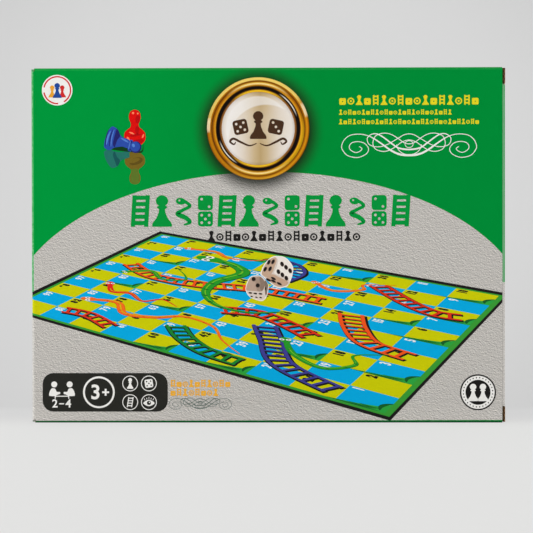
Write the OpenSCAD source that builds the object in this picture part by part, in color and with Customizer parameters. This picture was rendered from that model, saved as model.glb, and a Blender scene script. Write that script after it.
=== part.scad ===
// Boxed snakes and ladders set: a corrugated carton that stands on its long edge, with a tuck closure at
// each end, and the folded board, card insert, leaflet, pawns and dice inside it.
// The printed front faces -Y, +X is to its right, +Z is up, and the origin is the middle of the base.

/* [Carton] */
// Length of the carton, from end to end
carton_w = 300; // [240:5:360]
// Depth of the carton, from front to back
carton_d = 40; // [38:1:60]
// Height of the carton as it stands
carton_h = 225; // [200:5:300]
// Thickness of the corrugated board
flute_t = 1.5; // [1:0.1:2]
// Inside radius of every fold
fold_inner_r = 0.5; // [0.3:0.1:1]
// Gap between two panels that lie on each other
panel_gap = 0.3; // [0.2:0.1:0.5]
// Height of the glue flap inside the back panel
glue_flap_h = 15; // [10:1:25]
// Slant of the glue flap's ends, as a length
glue_flap_slant = 8; // [4:1:20]
// Gap between the glue flap and the left tuck flap
glue_flap_gap = 1; // [0.5:0.5:4]

/* [Closures] */
// Length of a tuck flap, from its fold
tuck_l = 15; // [11:1:16]
// Radius of a tuck flap's corners
tuck_corner_r = 9; // [3:1:9]
// Gap between a tuck flap and the panel that it hides behind
tuck_gap = 0.4; // [0.4:0.1:0.8]
// Gap at each end of a tuck flap, to the panels beside it
tuck_side_gap = 0.5; // [0.4:0.1:2]
// Length of the slit at each end of a tuck flap's fold
slit_l = 10; // [6:1:20]
// Width of that slit
slit_w = 0.4; // [0.2:0.1:0.8]
// How far a closure's top and bottom edges stay inside the carton's
closure_inset = 0.6; // [0.3:0.1:1.5]
// How far a closure's corner tabs stay behind the printed face
tab_inset = 0.2; // [0.1:0.1:0.8]

/* [Dust flaps] */
// Length of a dust flap, from its fold
dust_l = 28; // [18:1:30]
// Straight part of a dust flap's edge beside the closure's hinge
dust_shoulder = 5; // [3:0.5:6]
// Slope of that edge past the straight part, in degrees
dust_taper = 32; // [32:1:36]
// Gap between that edge and the panel that carries the closure
dust_relief = 2; // [2:0.5:4]
// Gap between a dust flap and the tuck flap beside it
dust_tuck_gap = 0.5; // [0.5:0.1:2]
// Width of the corner cut off a dust flap's tip, on the tuck flap's side
dust_corner_w = 6; // [5:0.5:8]
// Length of that corner
dust_corner_l = 14; // [12:1:16]

/* [Game board] */
// Thickness of a leaf
leaf_t = 2; // [1:0.1:2.5]
// Thickness of the printed sheet on a leaf
sheet_t = 0.2; // [0.1:0.05:0.4]
// Border of the leaf that the printed sheet leaves bare
sheet_margin = 3; // [1:0.5:8]
// Gap between the two printed sheets of the folded board
leaf_gap = 0.6; // [0.3:0.1:1]
// Thickness of the spine tape
spine_t = 0.5; // [0.3:0.1:0.8]
// How far the spine tape reaches up each leaf
spine_leg = 14; // [8:1:25]
// Play between the folded board and a dust flap
end_play = 1.7; // [1:0.1:4]
// Play between the folded board and the top panel
head_play = 3.5; // [2:0.5:8]

/* [Insert and leaflet] */
// Thickness of the insert's card
insert_t = 0.8; // [0.5:0.1:1.2]
// Play between the insert and the top panel
insert_play = 1; // [0.5:0.5:3]
// Gap between things that stand side by side in the carton
stack_gap = 0.3; // [0.2:0.1:0.4]
// Play between the pieces and the trough's walls
trough_play = 2; // [1:0.5:6]
// Width of the folded leaflet
leaflet_w = 148; // [100:1:200]
// How much lower than a leaf the leaflet is
leaflet_drop = 8; // [4:1:30]
// Thickness of the folded leaflet
leaflet_t = 0.4; // [0.2:0.1:0.6]

/* [Pieces] */
// Width of a pawn's foot, as a share of the trough's depth
pawn_share = 0.735; // [0.5:0.005:0.8]
// Height of a pawn, as a share of its foot's width, like the six shares below
pawn_h_share = 1.6; // [1.5:0.05:2]
// Width of a pawn's head
head_share = 0.575; // [0.5:0.005:0.65]
// Width of a pawn's collar
collar_share = 0.505; // [0.44:0.005:0.6]
// Width of a pawn's neck
neck_share = 0.335; // [0.24:0.005:0.4]
// Height of the straight rim of a pawn's foot
rim_share = 0.105; // [0.07:0.005:0.16]
// Height of the whole foot, up to where the waist starts
foot_share = 0.465; // [0.34:0.005:0.53]
// Width of a pawn's waist, on top of the foot
waist_share = 0.535; // [0.47:0.005:0.6]
// Width of a die, as a share of the trough's depth
die_share = 0.69; // [0.5:0.005:0.8]
// Width of a pip, as a share of the die's width, like the two shares below
pip_share = 0.185; // [0.12:0.005:0.2]
// Depth of a pip
pip_depth_share = 0.035; // [0.02:0.005:0.05]
// Distance of a face's outer pips from its middle
pip_pitch_share = 0.255; // [0.23:0.005:0.27]
// Gap between two pieces
piece_gap = 1; // [0.5:0.5:3]

/* [Hidden] */
$fn = 64;

print_green = [0.02, 0.55, 0.24];
kraft = [0.66, 0.50, 0.34];
wrap_black = [0.06, 0.06, 0.06];
card_white = [0.93, 0.92, 0.90];
sheet_yellow = [0.86, 0.83, 0.15];

// One overrun for all cuts
cut = flute_t;

// Folds: the outer radius, and the depth of the inside of a fold at its middle, along both panels
fold_r = flute_t + fold_inner_r;
fold_mid = fold_r - fold_inner_r / sqrt(2);

// Planes that the closed flaps lie in
closure_in_x = carton_w / 2 - flute_t;
dust_out_x = closure_in_x - panel_gap;
dust_in_x = dust_out_x - flute_t;
front_y = -carton_d / 2;
back_y = carton_d / 2;
tuck_out_y = front_y + flute_t + tuck_gap;

// A tuck flap folds further in by this share of its closure's turn, and leans in far enough when closed
// for its tip to swing out past the panel that it hides behind, with the panel gap to spare
tuck_fold_share = 0.2;
closure_r = back_y - tuck_out_y;
tuck_lean = asin(tuck_l * pow(1 - tuck_fold_share, 2) / (2 * closure_r) + panel_gap / tuck_l);
// Room behind a side panel that its closed tuck flap takes up
tuck_room = tuck_gap + flute_t / cos(tuck_lean) + tuck_l * sin(tuck_lean);

// Dust flap: its edges, counted from the face that the closure hinges on
dust_back = flute_t + dust_relief;
dust_front = carton_d - flute_t - tuck_room - dust_tuck_gap;
dust_tip_back = dust_back + (dust_l - dust_shoulder) * tan(dust_taper);

// Contents, from the front to the back
floor_z = flute_t;
leaf_w = carton_w - 2 * (2 * flute_t + panel_gap + end_play);
leaf_h = carton_h - 2 * flute_t - spine_t - head_play;
contents_y = front_y + flute_t + tuck_room + stack_gap;
leaf_front_y = contents_y + spine_t;
sheet_front_y = leaf_front_y + leaf_t;
sheet_back_y = sheet_front_y + sheet_t + leaf_gap;
leaf_back_y = sheet_back_y + sheet_t;
board_back_y = leaf_back_y + leaf_t + spine_t;
leaflet_y = board_back_y + stack_gap;
insert_y = leaflet_y + leaflet_t + stack_gap;
insert_d = back_y - flute_t - tuck_room - stack_gap - insert_y;
insert_h = carton_h - 2 * flute_t - insert_play;

// Pieces, which stand in one row in the trough and are sized to its depth
die_count = 2;
pawn_count = 4;
trough_d = insert_d - insert_t;
pawn_d = trough_d * pawn_share;
pawn_h = pawn_d * pawn_h_share;
pawn_head_d = pawn_d * head_share;
collar_d = pawn_d * collar_share;
neck_d = pawn_d * neck_share;
rim_h = pawn_d * rim_share;
foot_h = pawn_d * foot_share;
waist_d = pawn_d * waist_share;
die_w = trough_d * die_share;
pip_d = die_w * pip_share;
pip_depth = die_w * pip_depth_share;
pip_pitch = die_w * pip_pitch_share;
die_pitch = die_w + piece_gap;
pawn_pitch = pawn_d + piece_gap;
pieces_w = pawn_count * pawn_pitch + die_count * die_pitch - piece_gap;
trough_w = pieces_w + 2 * trough_play;
trough_mid_y = insert_y + trough_d / 2;
pawn_inner_x = die_count / 2 * die_pitch + pawn_pitch / 2;

// One half of a square fold. The panel runs to the right of it with its outer face on the X axis, and the
// origin is where the outer faces on both sides of the fold would meet.
module half_fold() {
    intersection() {
        translate([fold_r, fold_r])
            difference() {
                circle(r = fold_r);
                circle(r = fold_inner_r);
            }
        polygon([[fold_r, fold_r], [fold_r, -fold_r], [-fold_r, -fold_r]]);
    }
}

// Turns a profile drawn across X and Y into a bar along X, with the profile's X along +Z and its Y along +Y
module along_x(from_x, to_x) {
    translate([to_x, 0, 0])
        rotate([0, -90, 0])
            linear_extrude(to_x - from_x) children();
}

// Half fold along a panel's edge at y, z. The panel runs up from it, with its inner side towards +Y.
module edge_fold(from_x, to_x, y, z) {
    translate([0, y, z]) along_x(from_x, to_x) half_fold();
}

// A wide face of the sleeve, drawn as the front: fold to a closure on its left, cut edge on its right.
// Its lower edge is folded, or cut where the glue flap lies behind it.
module side_panel(lower_fold) {
    left_x = -carton_w / 2 + fold_r;
    low_z = lower_fold ? fold_r : 0;
    translate([left_x, front_y, low_z])
        cube([dust_out_x - left_x, flute_t, carton_h - fold_r - low_z]);
    translate([0, 0, carton_h])
        mirror([0, 0, 1]) edge_fold(left_x, dust_out_x, front_y, 0);
    if (lower_fold) edge_fold(left_x, dust_out_x, front_y, 0);
    translate([-carton_w / 2, front_y, fold_r])
        linear_extrude(carton_h - 2 * fold_r) half_fold();
}

// Half fold that a dust flap hangs on, along the end of a narrow face at the given end of the carton
module dust_fold() {
    translate([dust_out_x, back_y - dust_back, carton_h])
        rotate([90, 0, 0])
            linear_extrude(dust_front - dust_back)
                rotate(180) half_fold();
}

// A narrow face of the sleeve, drawn as the top. Its back edge lies at to_y, against the next panel.
module narrow_panel(to_y) {
    top_z = carton_h - flute_t;
    plate_x = dust_out_x - fold_r;
    translate([-plate_x, front_y + fold_r, top_z])
        cube([2 * plate_x, to_y - front_y - 2 * fold_r, flute_t]);
    for (back = [false, true])
        translate([0, back ? to_y : front_y, carton_h])
            mirror([0, back ? 1 : 0, 0])
                rotate([-90, 0, 0])
                    edge_fold(-dust_out_x, dust_out_x, 0, 0);
    for (turn = [0, 180]) {
        low_y = turn == 0 ? front_y + fold_r : fold_r - to_y;
        high_y = turn == 0 ? to_y - fold_r : back_y - fold_r;
        fold_low_y = back_y - dust_front;
        fold_high_y = back_y - dust_back;
        rotate(turn) {
            dust_fold();
            translate([plate_x, low_y, top_z])
                cube([fold_r, fold_low_y - slit_w - low_y, flute_t]);
            translate([plate_x, fold_high_y + slit_w, top_z])
                cube([fold_r, high_y - fold_high_y - slit_w, flute_t]);
        }
    }
}

// A panel that closes the right end, hinged on the back panel
module closure() {
    hinge_z = fold_r;
    fold_z = slit_l + slit_w;
    plate_y = tuck_out_y + fold_r;
    tab_y = front_y + tab_inset;
    translate([closure_in_x, plate_y, closure_inset])
        cube([flute_t, back_y - fold_r - plate_y, carton_h - 2 * closure_inset]);
    translate([carton_w / 2, back_y, hinge_z])
        linear_extrude(carton_h - 2 * hinge_z)
            rotate(-90) mirror([0, 1]) half_fold();
    translate([carton_w / 2, tuck_out_y, fold_z])
        linear_extrude(carton_h - 2 * fold_z)
            rotate(90) half_fold();
    for (z = [closure_inset, carton_h - slit_l])
        translate([closure_in_x, tab_y, z])
            cube([flute_t, plate_y - tab_y, slit_l - closure_inset]);
}

// A tuck flap's outline: x is the distance from its fold, with rounded corners at the tip
module tuck_outline() {
    low = flute_t + tuck_side_gap;
    high = carton_h - low;
    translate([fold_r, low]) square([tuck_l - tuck_corner_r - fold_r, high - low]);
    translate([fold_r, low + tuck_corner_r])
        square([tuck_l - fold_r, high - low - 2 * tuck_corner_r]);
    intersection() {
        for (z = [low + tuck_corner_r, high - tuck_corner_r])
            translate([tuck_l - tuck_corner_r, z]) circle(r = tuck_corner_r);
        translate([fold_r, low]) square([tuck_l - fold_r, high - low]);
    }
}

// The flap at the right closure's free edge, which hides behind the front panel
module tuck_flap() {
    fold_z = slit_l + slit_w;
    inner = [carton_w / 2 - fold_mid, tuck_out_y + fold_mid, 0];
    translate(inner)
        rotate(-tuck_lean)
            translate(-inner)
                translate([carton_w / 2, tuck_out_y, 0]) {
                    translate([0, flute_t, 0])
                        rotate([90, 0, 0])
                            mirror([1, 0, 0]) linear_extrude(flute_t) tuck_outline();
                    translate([0, 0, fold_z])
                        linear_extrude(carton_h - 2 * fold_z)
                            mirror([1, 0]) half_fold();
                }
}

// The upper flap inside the right closure, drawn as an outline seen from the end: x is the distance from
// the back panel's face, y is the distance below the carton's top.
module dust_flap() {
    translate([dust_in_x, back_y, carton_h])
        rotate([0, 90, 0])
            linear_extrude(flute_t)
                rotate(-90)
                    polygon([
                        [dust_back, fold_r],
                        [dust_back, dust_shoulder],
                        [dust_tip_back, dust_l],
                        [dust_front - dust_corner_w, dust_l],
                        [dust_front, dust_l - dust_corner_l],
                        [dust_front, fold_r]
                    ]);
    translate([dust_out_x, back_y - dust_back, carton_h])
        rotate([90, 0, 0])
            linear_extrude(dust_front - dust_back)
                rotate(-90) mirror([0, 1]) half_fold();
}

module at_lower_edge() {
    translate([0, 0, carton_h]) mirror([0, 0, 1]) children();
}

module at_left_end() {
    rotate(180) children();
}

module front_panel() {
    color(print_green) side_panel(true);
}

module back_panel() {
    color(print_green) at_left_end() side_panel(false);
}

module top_panel() {
    color(print_green) narrow_panel(back_y);
}

module bottom_panel() {
    color(print_green) at_lower_edge() narrow_panel(back_y - flute_t);
}

// The strip that joins the sleeve, folded up from the bottom panel and glued inside the back panel
module glue_flap() {
    end_x = carton_w / 2 - tuck_l - glue_flap_gap;
    color(kraft)
        translate([0, back_y - flute_t, 0])
            mirror([0, 1, 0]) {
                edge_fold(-end_x, end_x, 0, 0);
                rotate([90, 0, 0])
                    mirror([0, 0, 1])
                        linear_extrude(flute_t)
                            polygon([
                                [-end_x, fold_r],
                                [-end_x + glue_flap_slant, glue_flap_h],
                                [end_x - glue_flap_slant, glue_flap_h],
                                [end_x, fold_r]
                            ]);
            }
}

module right_closure() {
    color(print_green) closure();
}

module right_tuck_flap() {
    color(print_green) tuck_flap();
}

module right_dust_flap_upper() {
    color(kraft) dust_flap();
}

module right_dust_flap_lower() {
    color(kraft) at_lower_edge() dust_flap();
}

module left_closure() {
    color(print_green) at_left_end() closure();
}

module left_tuck_flap() {
    color(print_green) at_left_end() tuck_flap();
}

module left_dust_flap_upper() {
    color(kraft) at_left_end() dust_flap();
}

module left_dust_flap_lower() {
    color(kraft) at_left_end() at_lower_edge() dust_flap();
}

module leaf(y) {
    translate([-leaf_w / 2, y, floor_z + spine_t]) cube([leaf_w, leaf_t, leaf_h]);
}

module sheet(y) {
    translate([-leaf_w / 2 + sheet_margin, y, floor_z + spine_t])
        cube([leaf_w - 2 * sheet_margin, sheet_t, leaf_h - sheet_margin]);
}

module board_leaf_front() {
    color(wrap_black) leaf(leaf_front_y);
}

module board_leaf_back() {
    color(wrap_black) leaf(leaf_back_y);
}

module board_sheet_front() {
    color(sheet_yellow) sheet(sheet_front_y);
}

module board_sheet_back() {
    color(sheet_yellow) sheet(sheet_back_y);
}

// Tape that joins the leaves, folded round their lower edges
module board_spine() {
    spine_d = board_back_y - contents_y;
    color(wrap_black)
        translate([-leaf_w / 2, contents_y, floor_z])
            difference() {
                cube([leaf_w, spine_d, spine_t + spine_leg]);
                translate([-cut, spine_t, spine_t])
                    cube([leaf_w + 2 * cut, spine_d - 2 * spine_t, spine_leg + cut]);
            }
}

// Card folded into two platforms with a trough between them, open at its top and bottom
module insert_card() {
    half_w = leaf_w / 2;
    half_trough = trough_w / 2;
    color(card_white)
        translate([0, insert_y, floor_z])
            linear_extrude(insert_h)
                for (side = [false, true])
                    mirror([side ? 1 : 0, 0]) {
                        translate([half_w - insert_t, 0]) square([insert_t, insert_d]);
                        translate([half_trough, 0]) square([half_w - half_trough, insert_t]);
                        translate([half_trough, 0]) square([insert_t, insert_d]);
                        translate([0, insert_d - insert_t])
                            square([half_trough + insert_t, insert_t]);
                    }
}

module rules_leaflet() {
    color(card_white)
        translate([-leaflet_w / 2, leaflet_y, floor_z])
            cube([leaflet_w, leaflet_t, leaf_h - leaflet_drop]);
}

// Pawn that stands on z = 0: a broad foot, a waist that narrows to the neck, a collar and a ball
module pawn() {
    head_z = pawn_h - pawn_head_d / 2;
    collar_t = collar_d - neck_d;
    collar_z = pawn_h - pawn_head_d - collar_t / 2;
    cylinder(d = pawn_d, h = rim_h);
    translate([0, 0, rim_h]) cylinder(d1 = pawn_d, d2 = waist_d, h = foot_h - rim_h);
    translate([0, 0, foot_h]) cylinder(d1 = waist_d, d2 = neck_d, h = collar_z - foot_h);
    translate([0, 0, collar_z]) cylinder(d = neck_d, h = head_z - collar_z);
    translate([0, 0, collar_z])
        rotate_extrude()
            intersection() {
                translate([neck_d / 2, 0]) circle(d = collar_t);
                translate([0, -collar_t]) square([collar_d, 2 * collar_t]);
            }
    translate([0, 0, head_z]) sphere(d = pawn_head_d);
}

module pawn_at(x) {
    translate([x, trough_mid_y, floor_z]) pawn();
}

module pawn_red() {
    color("firebrick") pawn_at(-pawn_inner_x - pawn_pitch);
}

module pawn_blue() {
    color("royalblue") pawn_at(-pawn_inner_x);
}

module pawn_yellow() {
    color("gold") pawn_at(pawn_inner_x);
}

module pawn_green() {
    color("seagreen") pawn_at(pawn_inner_x + pawn_pitch);
}

// Places of a face's pips, as steps of the pitch
function pip_steps(count) =
    concat(
        count % 2 == 1 ? [[0, 0]] : [],
        count > 1 ? [[-1, -1], [1, 1]] : [],
        count > 3 ? [[-1, 1], [1, -1]] : [],
        count == 6 ? [[-1, 0], [1, 0]] : []
    );

// Die about its middle. Its corners are rounded by a ball, and opposite faces add up to seven.
module die() {
    ball_share = 0.72;
    pip_r = (pip_d * pip_d / 4 + pip_depth * pip_depth) / (2 * pip_depth);
    faces = [
        [1, [0, 0, 0]], [6, [180, 0, 0]],
        [2, [90, 0, 0]], [5, [-90, 0, 0]],
        [3, [0, 90, 0]], [4, [0, -90, 0]]
    ];
    difference() {
        intersection() {
            cube(die_w, center = true);
            sphere(r = die_w * ball_share);
        }
        for (face = faces)
            rotate(face[1])
                for (step = pip_steps(face[0]))
                    translate([
                        step[0] * pip_pitch,
                        step[1] * pip_pitch,
                        die_w / 2 - pip_depth + pip_r
                    ])
                        sphere(r = pip_r);
    }
}

module die_at(x, turn) {
    color(card_white)
        translate([x, trough_mid_y, floor_z + die_w / 2]) rotate(turn) die();
}

module die_left() {
    die_at(-die_pitch / 2, [0, 0, 0]);
}

module die_right() {
    die_at(die_pitch / 2, [90, 0, 90]);
}

front_panel();
back_panel();
top_panel();
bottom_panel();
glue_flap();
right_closure();
right_tuck_flap();
right_dust_flap_upper();
right_dust_flap_lower();
left_closure();
left_tuck_flap();
left_dust_flap_upper();
left_dust_flap_lower();
board_leaf_front();
board_leaf_back();
board_sheet_front();
board_sheet_back();
board_spine();
insert_card();
rules_leaflet();
pawn_red();
pawn_blue();
pawn_yellow();
pawn_green();
die_left();
die_right();
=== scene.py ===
"""Looks of a boxed snakes and ladders set: its print, board, card, paper and plastic, and the studio.

The printed front is drawn in millimetres: x to the right of the carton's middle, z above its base.
"""
import math

import bmesh
import bpy
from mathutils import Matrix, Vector, geometry


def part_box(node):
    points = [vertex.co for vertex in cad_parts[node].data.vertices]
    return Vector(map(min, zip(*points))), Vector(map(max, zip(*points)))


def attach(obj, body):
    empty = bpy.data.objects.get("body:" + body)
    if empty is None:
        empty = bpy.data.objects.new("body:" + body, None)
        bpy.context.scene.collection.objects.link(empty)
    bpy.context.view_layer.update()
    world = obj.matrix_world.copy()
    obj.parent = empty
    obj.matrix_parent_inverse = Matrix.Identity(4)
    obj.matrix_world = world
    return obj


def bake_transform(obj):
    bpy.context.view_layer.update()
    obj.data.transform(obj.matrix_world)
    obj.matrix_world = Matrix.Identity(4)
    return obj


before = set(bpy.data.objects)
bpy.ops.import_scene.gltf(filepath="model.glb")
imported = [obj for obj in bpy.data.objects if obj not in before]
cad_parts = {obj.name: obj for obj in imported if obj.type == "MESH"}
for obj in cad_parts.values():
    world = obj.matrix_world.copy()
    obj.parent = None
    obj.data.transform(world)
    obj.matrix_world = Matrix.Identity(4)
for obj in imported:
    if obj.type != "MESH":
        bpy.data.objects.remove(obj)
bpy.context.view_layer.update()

bl_info = {
    "name": "Boxed board game",
    "version": (1, 0, 0),
    "blender": (4, 5, 0),
    "location": "View3D > Sidebar > Board game",
    "description": "Dresses a corrugated game carton and its contents",
    "category": "Object",
}

MM = 0.001
FRONT_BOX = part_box("front_panel")
# Lengths from here on are in millimetres, and MM turns them into metres
FRONT_Y = FRONT_BOX[0].y / MM
CARTON_W = (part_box("right_closure")[1].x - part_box("left_closure")[0].x) / MM
CARTON_D = -2 * FRONT_Y
CARTON_H = FRONT_BOX[1].z / MM
BOARD_T = 1.5
FLUTE_PITCH = 3.2
FOLD_R = 2.0
# The front's flat face ends here, at its left fold
FOLD_X = FOLD_R - CARTON_W / 2
# How far a crease stands off its fold and laps onto the panels, and how far from a fold the print shows wear
# and painted highlight
FOLD_PROUD, TUCK_PROUD = 0.04, 0.08
FOLD_LIP = 0.8
FOLD_WEAR_AND_HIGHLIGHT = 1.6
CORNER_SLIT = 10.4
TUCK_LEAN = math.radians(8.4)
# How far the small print stands off the board
PRINT_LEVEL = 0.04


def srgb(red, green, blue):
    """Linear colour of three 0 to 255 display values."""
    parts = [part / 255 for part in (red, green, blue)]
    return tuple(p / 12.92 if p <= 0.04045 else ((p + 0.055) / 1.055) ** 2.4 for p in parts)


def colour_prop(name, description, display):
    return bpy.props.FloatVectorProperty(
        name=name, description=description, subtype="COLOR", size=3, min=0, max=1, default=srgb(*display)
    )


def number_prop(name, description, default, **limits):
    return bpy.props.FloatProperty(name=name, description=description, default=default, **limits)


def size_prop(name, description, default, low=0.0, high=400.0):
    return number_prop(name, description, default, min=low, max=high)


class CartonLook(bpy.types.PropertyGroup):
    """Colours and zones of the printed carton"""

    green: colour_prop("Field green", "Ink of the carton's upper field", (0, 146, 58))
    # Painted shade: the darker green of the base strip stands in for the shade under the bottom fold
    base_shade_green: colour_prop("Base green", "Ink of the strip round the carton's base", (8, 96, 44))
    silver: colour_prop("Silver grey", "Ink of the dome with the leather grain", (190, 186, 181))
    kraft: colour_prop("Kraft", "Liner inside the corrugated board", (166, 128, 88))
    dome_half_width: size_prop("Dome half width", "Half width of the dome's ellipse, mm", 165.3)
    dome_rise: size_prop("Dome rise", "Rise of the dome above its middle, mm", 93.5)
    dome_base: size_prop("Dome middle", "Height of the ellipse's middle, mm", 65.5)
    end_zone: size_prop("End zone", "Height where the ends turn from grey to green, mm", 85.8)
    end_zone_step: size_prop("End zone step", "How much higher that is on the right end, mm", 3.2)


class FrontPrint(bpy.types.PropertyGroup):
    """Sizes and colours of the motifs on the printed front"""

    medallion_x: size_prop("Medallion X", "Middle of the medallion, mm", -6.1, -150)
    medallion_z: size_prop("Medallion Z", "Height of the medallion's middle, mm", 186.5)
    medallion_r: size_prop("Medallion radius", "Outside radius of the gold rim, mm", 32.4)
    disc_r: size_prop("Disc radius", "Radius of the pearl disc, mm", 23.3)
    yellow: colour_prop("Yellow", "Ink of the small rows on the green field", (228, 212, 32))
    orange: colour_prop("Orange", "Ink of the small ornaments by the panel", (236, 172, 56))
    black: colour_prop("Black", "Black ink", (28, 27, 26))
    white: colour_prop("White", "White ink", (238, 236, 232))


class BoardPicture(bpy.types.PropertyGroup):
    """Sizes and colours of the game board, printed on the front and on the board inside"""

    squares: bpy.props.IntProperty(
        name="Squares", description="Squares along each side", default=10, min=2, max=12
    )
    square: size_prop("Square", "Side of a square on the flat board, mm", 35.0)
    number_h: size_prop("Number height", "Height of a square's number, mm", 8.8)
    number_w: number_prop("Number width", "Width of a number against the plain font", 0.95, min=0.3, max=2)
    yellow: colour_prop("Square yellow", "Ink of every other square", (201, 201, 1))
    blue: colour_prop("Square blue", "Ink of the squares between them", (0, 167, 222))
    border: colour_prop("Border green", "Ink of the border", (56, 152, 52))


class Studio(bpy.types.PropertyGroup):
    """Camera, lamps and background"""

    lens: size_prop("Lens", "Focal length of the camera, mm", 168.5)
    distance: number_prop("Distance", "From the camera to the carton's middle plane", 1.6, unit="LENGTH")
    camera_x: number_prop("Camera X", "How far the camera stands to the right", 0.0316, unit="LENGTH")
    camera_z: number_prop("Camera height", "Height of the lens", 0.1292, unit="LENGTH")
    pitch: number_prop("Pitch", "How far the camera looks down", math.radians(1.09), subtype="ANGLE")
    yaw: number_prop("Yaw", "How far the camera looks to the left", math.radians(1.18), subtype="ANGLE")
    key_power: number_prop("Key lamp", "Power of the lamp on the upper left", 12.0, unit="POWER")
    side_power: number_prop("Side lamps", "Power of each tall lamp beside the carton", 5.0, unit="POWER")
    room: number_prop("Room light", "Strength of the even light of the room", 0.73, min=0, max=4)
    floor: colour_prop("Floor", "Colour of the floor", (226, 226, 225))
    # Painted shade: the wall's colour is darker than the floor's, though both are one sweep of paper
    wall: colour_prop("Wall", "Colour of the wall", (215, 215, 215))
    glow: number_prop("Evenness", "How far the camera sees the paper's plain colour", 0.8, min=0, max=1)


# Node trees


class Wiring:
    """Short calls that add nodes to one node tree and join them"""

    def __init__(self, tree):
        self.tree = tree

    def add(self, kind, **settings):
        node = self.tree.nodes.new(kind)
        for key, value in settings.items():
            setattr(node, key, value)
        return node

    def feed(self, socket, value):
        if isinstance(value, bpy.types.NodeSocket):
            self.tree.links.new(value, socket)
        elif value is not None:
            socket.default_value = (*value, 1) if socket.type == "RGBA" and len(value) == 3 else value

    def math(self, operation, *values):
        node = self.add("ShaderNodeMath", operation=operation)
        for socket, value in zip(node.inputs, values):
            self.feed(socket, value)
        return node.outputs[0]

    def plus(self, first, second):
        return self.math("ADD", first, second)

    def minus(self, first, second):
        return self.math("SUBTRACT", first, second)

    def times(self, first, second):
        return self.math("MULTIPLY", first, second)

    def larger(self, first, second):
        return self.math("MAXIMUM", first, second)

    def above(self, value, limit):
        return self.math("GREATER_THAN", value, limit)

    def absolute(self, value):
        return self.math("ABSOLUTE", value)

    def vector(self, operation, first, second=None, scale=None):
        node = self.add("ShaderNodeVectorMath", operation=operation)
        self.feed(node.inputs[0], first)
        self.feed(node.inputs[1], second)
        if scale is not None:
            self.feed(node.inputs["Scale"], scale)
        return node.outputs["Value" if operation in ("LENGTH", "DOT_PRODUCT") else "Vector"]

    def mix(self, factor, first, second, blend="MIX"):
        node = self.add("ShaderNodeMix", data_type="RGBA", blend_type=blend)
        self.feed(node.inputs[0], factor)
        self.feed(node.inputs[6], first)
        self.feed(node.inputs[7], second)
        return node.outputs[2]

    def shade(self, colour, factor):
        return self.mix(1.0, colour, factor, "MULTIPLY")

    def spread(self, value, low, high, to_low=0.0, to_high=1.0, soft=False):
        node = self.add("ShaderNodeMapRange", interpolation_type="SMOOTHSTEP" if soft else "LINEAR")
        for socket, part in zip(node.inputs, (value, low, high, to_low, to_high)):
            self.feed(socket, part)
        return node.outputs[0]

    def noise(self, where, scale, detail=2.0, distortion=0.0):
        node = self.add("ShaderNodeTexNoise")
        self.feed(node.inputs["Vector"], where)
        self.feed(node.inputs["Scale"], scale)
        self.feed(node.inputs["Detail"], detail)
        self.feed(node.inputs["Distortion"], distortion)
        return node.outputs["Fac"]

    def ramp(self, factor, stops):
        """Colour ramp whose stops are a position and three display values each."""
        node = self.add("ShaderNodeValToRGB")
        self.feed(node.inputs[0], factor)
        points = node.color_ramp.elements
        while len(points) < len(stops):
            points.new(0.5)
        for point, (position, *display) in zip(points, stops):
            point.position = position
            point.color = (*srgb(*display), 1)
        return node.outputs[0]

    def group(self, name, **values):
        node = self.add("ShaderNodeGroup")
        node.node_tree = bpy.data.node_groups[name]
        for key, value in values.items():
            self.feed(node.inputs[key.replace("_", " ").capitalize()], value)
        return node.outputs

    def place(self):
        """Place on the object at rest, in millimetres."""
        coordinates = self.add("ShaderNodeTexCoord")
        return self.vector("SCALE", coordinates.outputs["Object"], scale=1 / MM)

    def split(self, vector):
        node = self.add("ShaderNodeSeparateXYZ")
        self.feed(node.inputs[0], vector)
        return node.outputs


def shader_group(name, inputs, outputs, fill):
    """Builds a node group once. Inputs are (name, socket kind, default), outputs are (name, socket kind)."""
    tree = bpy.data.node_groups.new(name, "ShaderNodeTree")
    for label, kind, default in inputs:
        socket = tree.interface.new_socket(name=label, in_out="INPUT", socket_type="NodeSocket" + kind)
        if default is not None:
            socket.default_value = default
    for label, kind in outputs:
        tree.interface.new_socket(name=label, in_out="OUTPUT", socket_type="NodeSocket" + kind)
    wires = Wiring(tree)
    source = wires.add("NodeGroupInput")
    sink = wires.add("NodeGroupOutput")
    for socket, value in zip(sink.inputs, fill(wires, source.outputs)):
        wires.feed(socket, value)


def fill_paper_grain(wires, given):
    cloud = wires.noise(given["Place"], wires.times(given["Scale"], 0.08), 3)
    fibre = wires.noise(wires.vector("MULTIPLY", given["Place"], (1.0, 1.0, 0.35)), given["Scale"], 3)
    both = wires.plus(wires.times(cloud, 0.5), wires.times(fibre, 0.5))
    swing = wires.times(wires.minus(both, 0.5), given["Contrast"])
    return wires.plus(swing, 1.0), fibre


def fill_pebble_grain(wires, given):
    scale = wires.math("DIVIDE", 1.0, given["Size"])
    strokes = wires.vector("MULTIPLY", given["Place"], (0.62, 1.0, 1.0))
    here = wires.noise(strokes, scale, 2, 1.6)
    shift = wires.vector("SCALE", (-0.1, 0.0, -0.26), scale=given["Size"])
    beside = wires.noise(wires.vector("ADD", strokes, shift), scale, 2, 1.6)
    relief = wires.times(wires.minus(here, beside), given["Contrast"])
    return wires.plus(relief, 1.0), here


def fill_flutes(wires, given):
    """Wavy medium between two flat liners, by the place across the board's middle and along its cut. The
    hollows between them are painted shade in a dark colour.
    """
    swing, half_wall, liner_at = 0.48, 0.16, 0.56
    turn = wires.times(given["Along"], 2 * math.pi / FLUTE_PITCH)
    centre = wires.times(wires.math("SINE", turn), swing)
    from_wave = wires.absolute(wires.minus(given["Across"], centre))
    wave = wires.math("LESS_THAN", from_wave, half_wall)
    liner = wires.above(wires.absolute(given["Across"]), liner_at)
    solid = wires.larger(wave, liner)
    return wires.mix(solid, given["Hollow"], given["Board"]), solid


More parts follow.
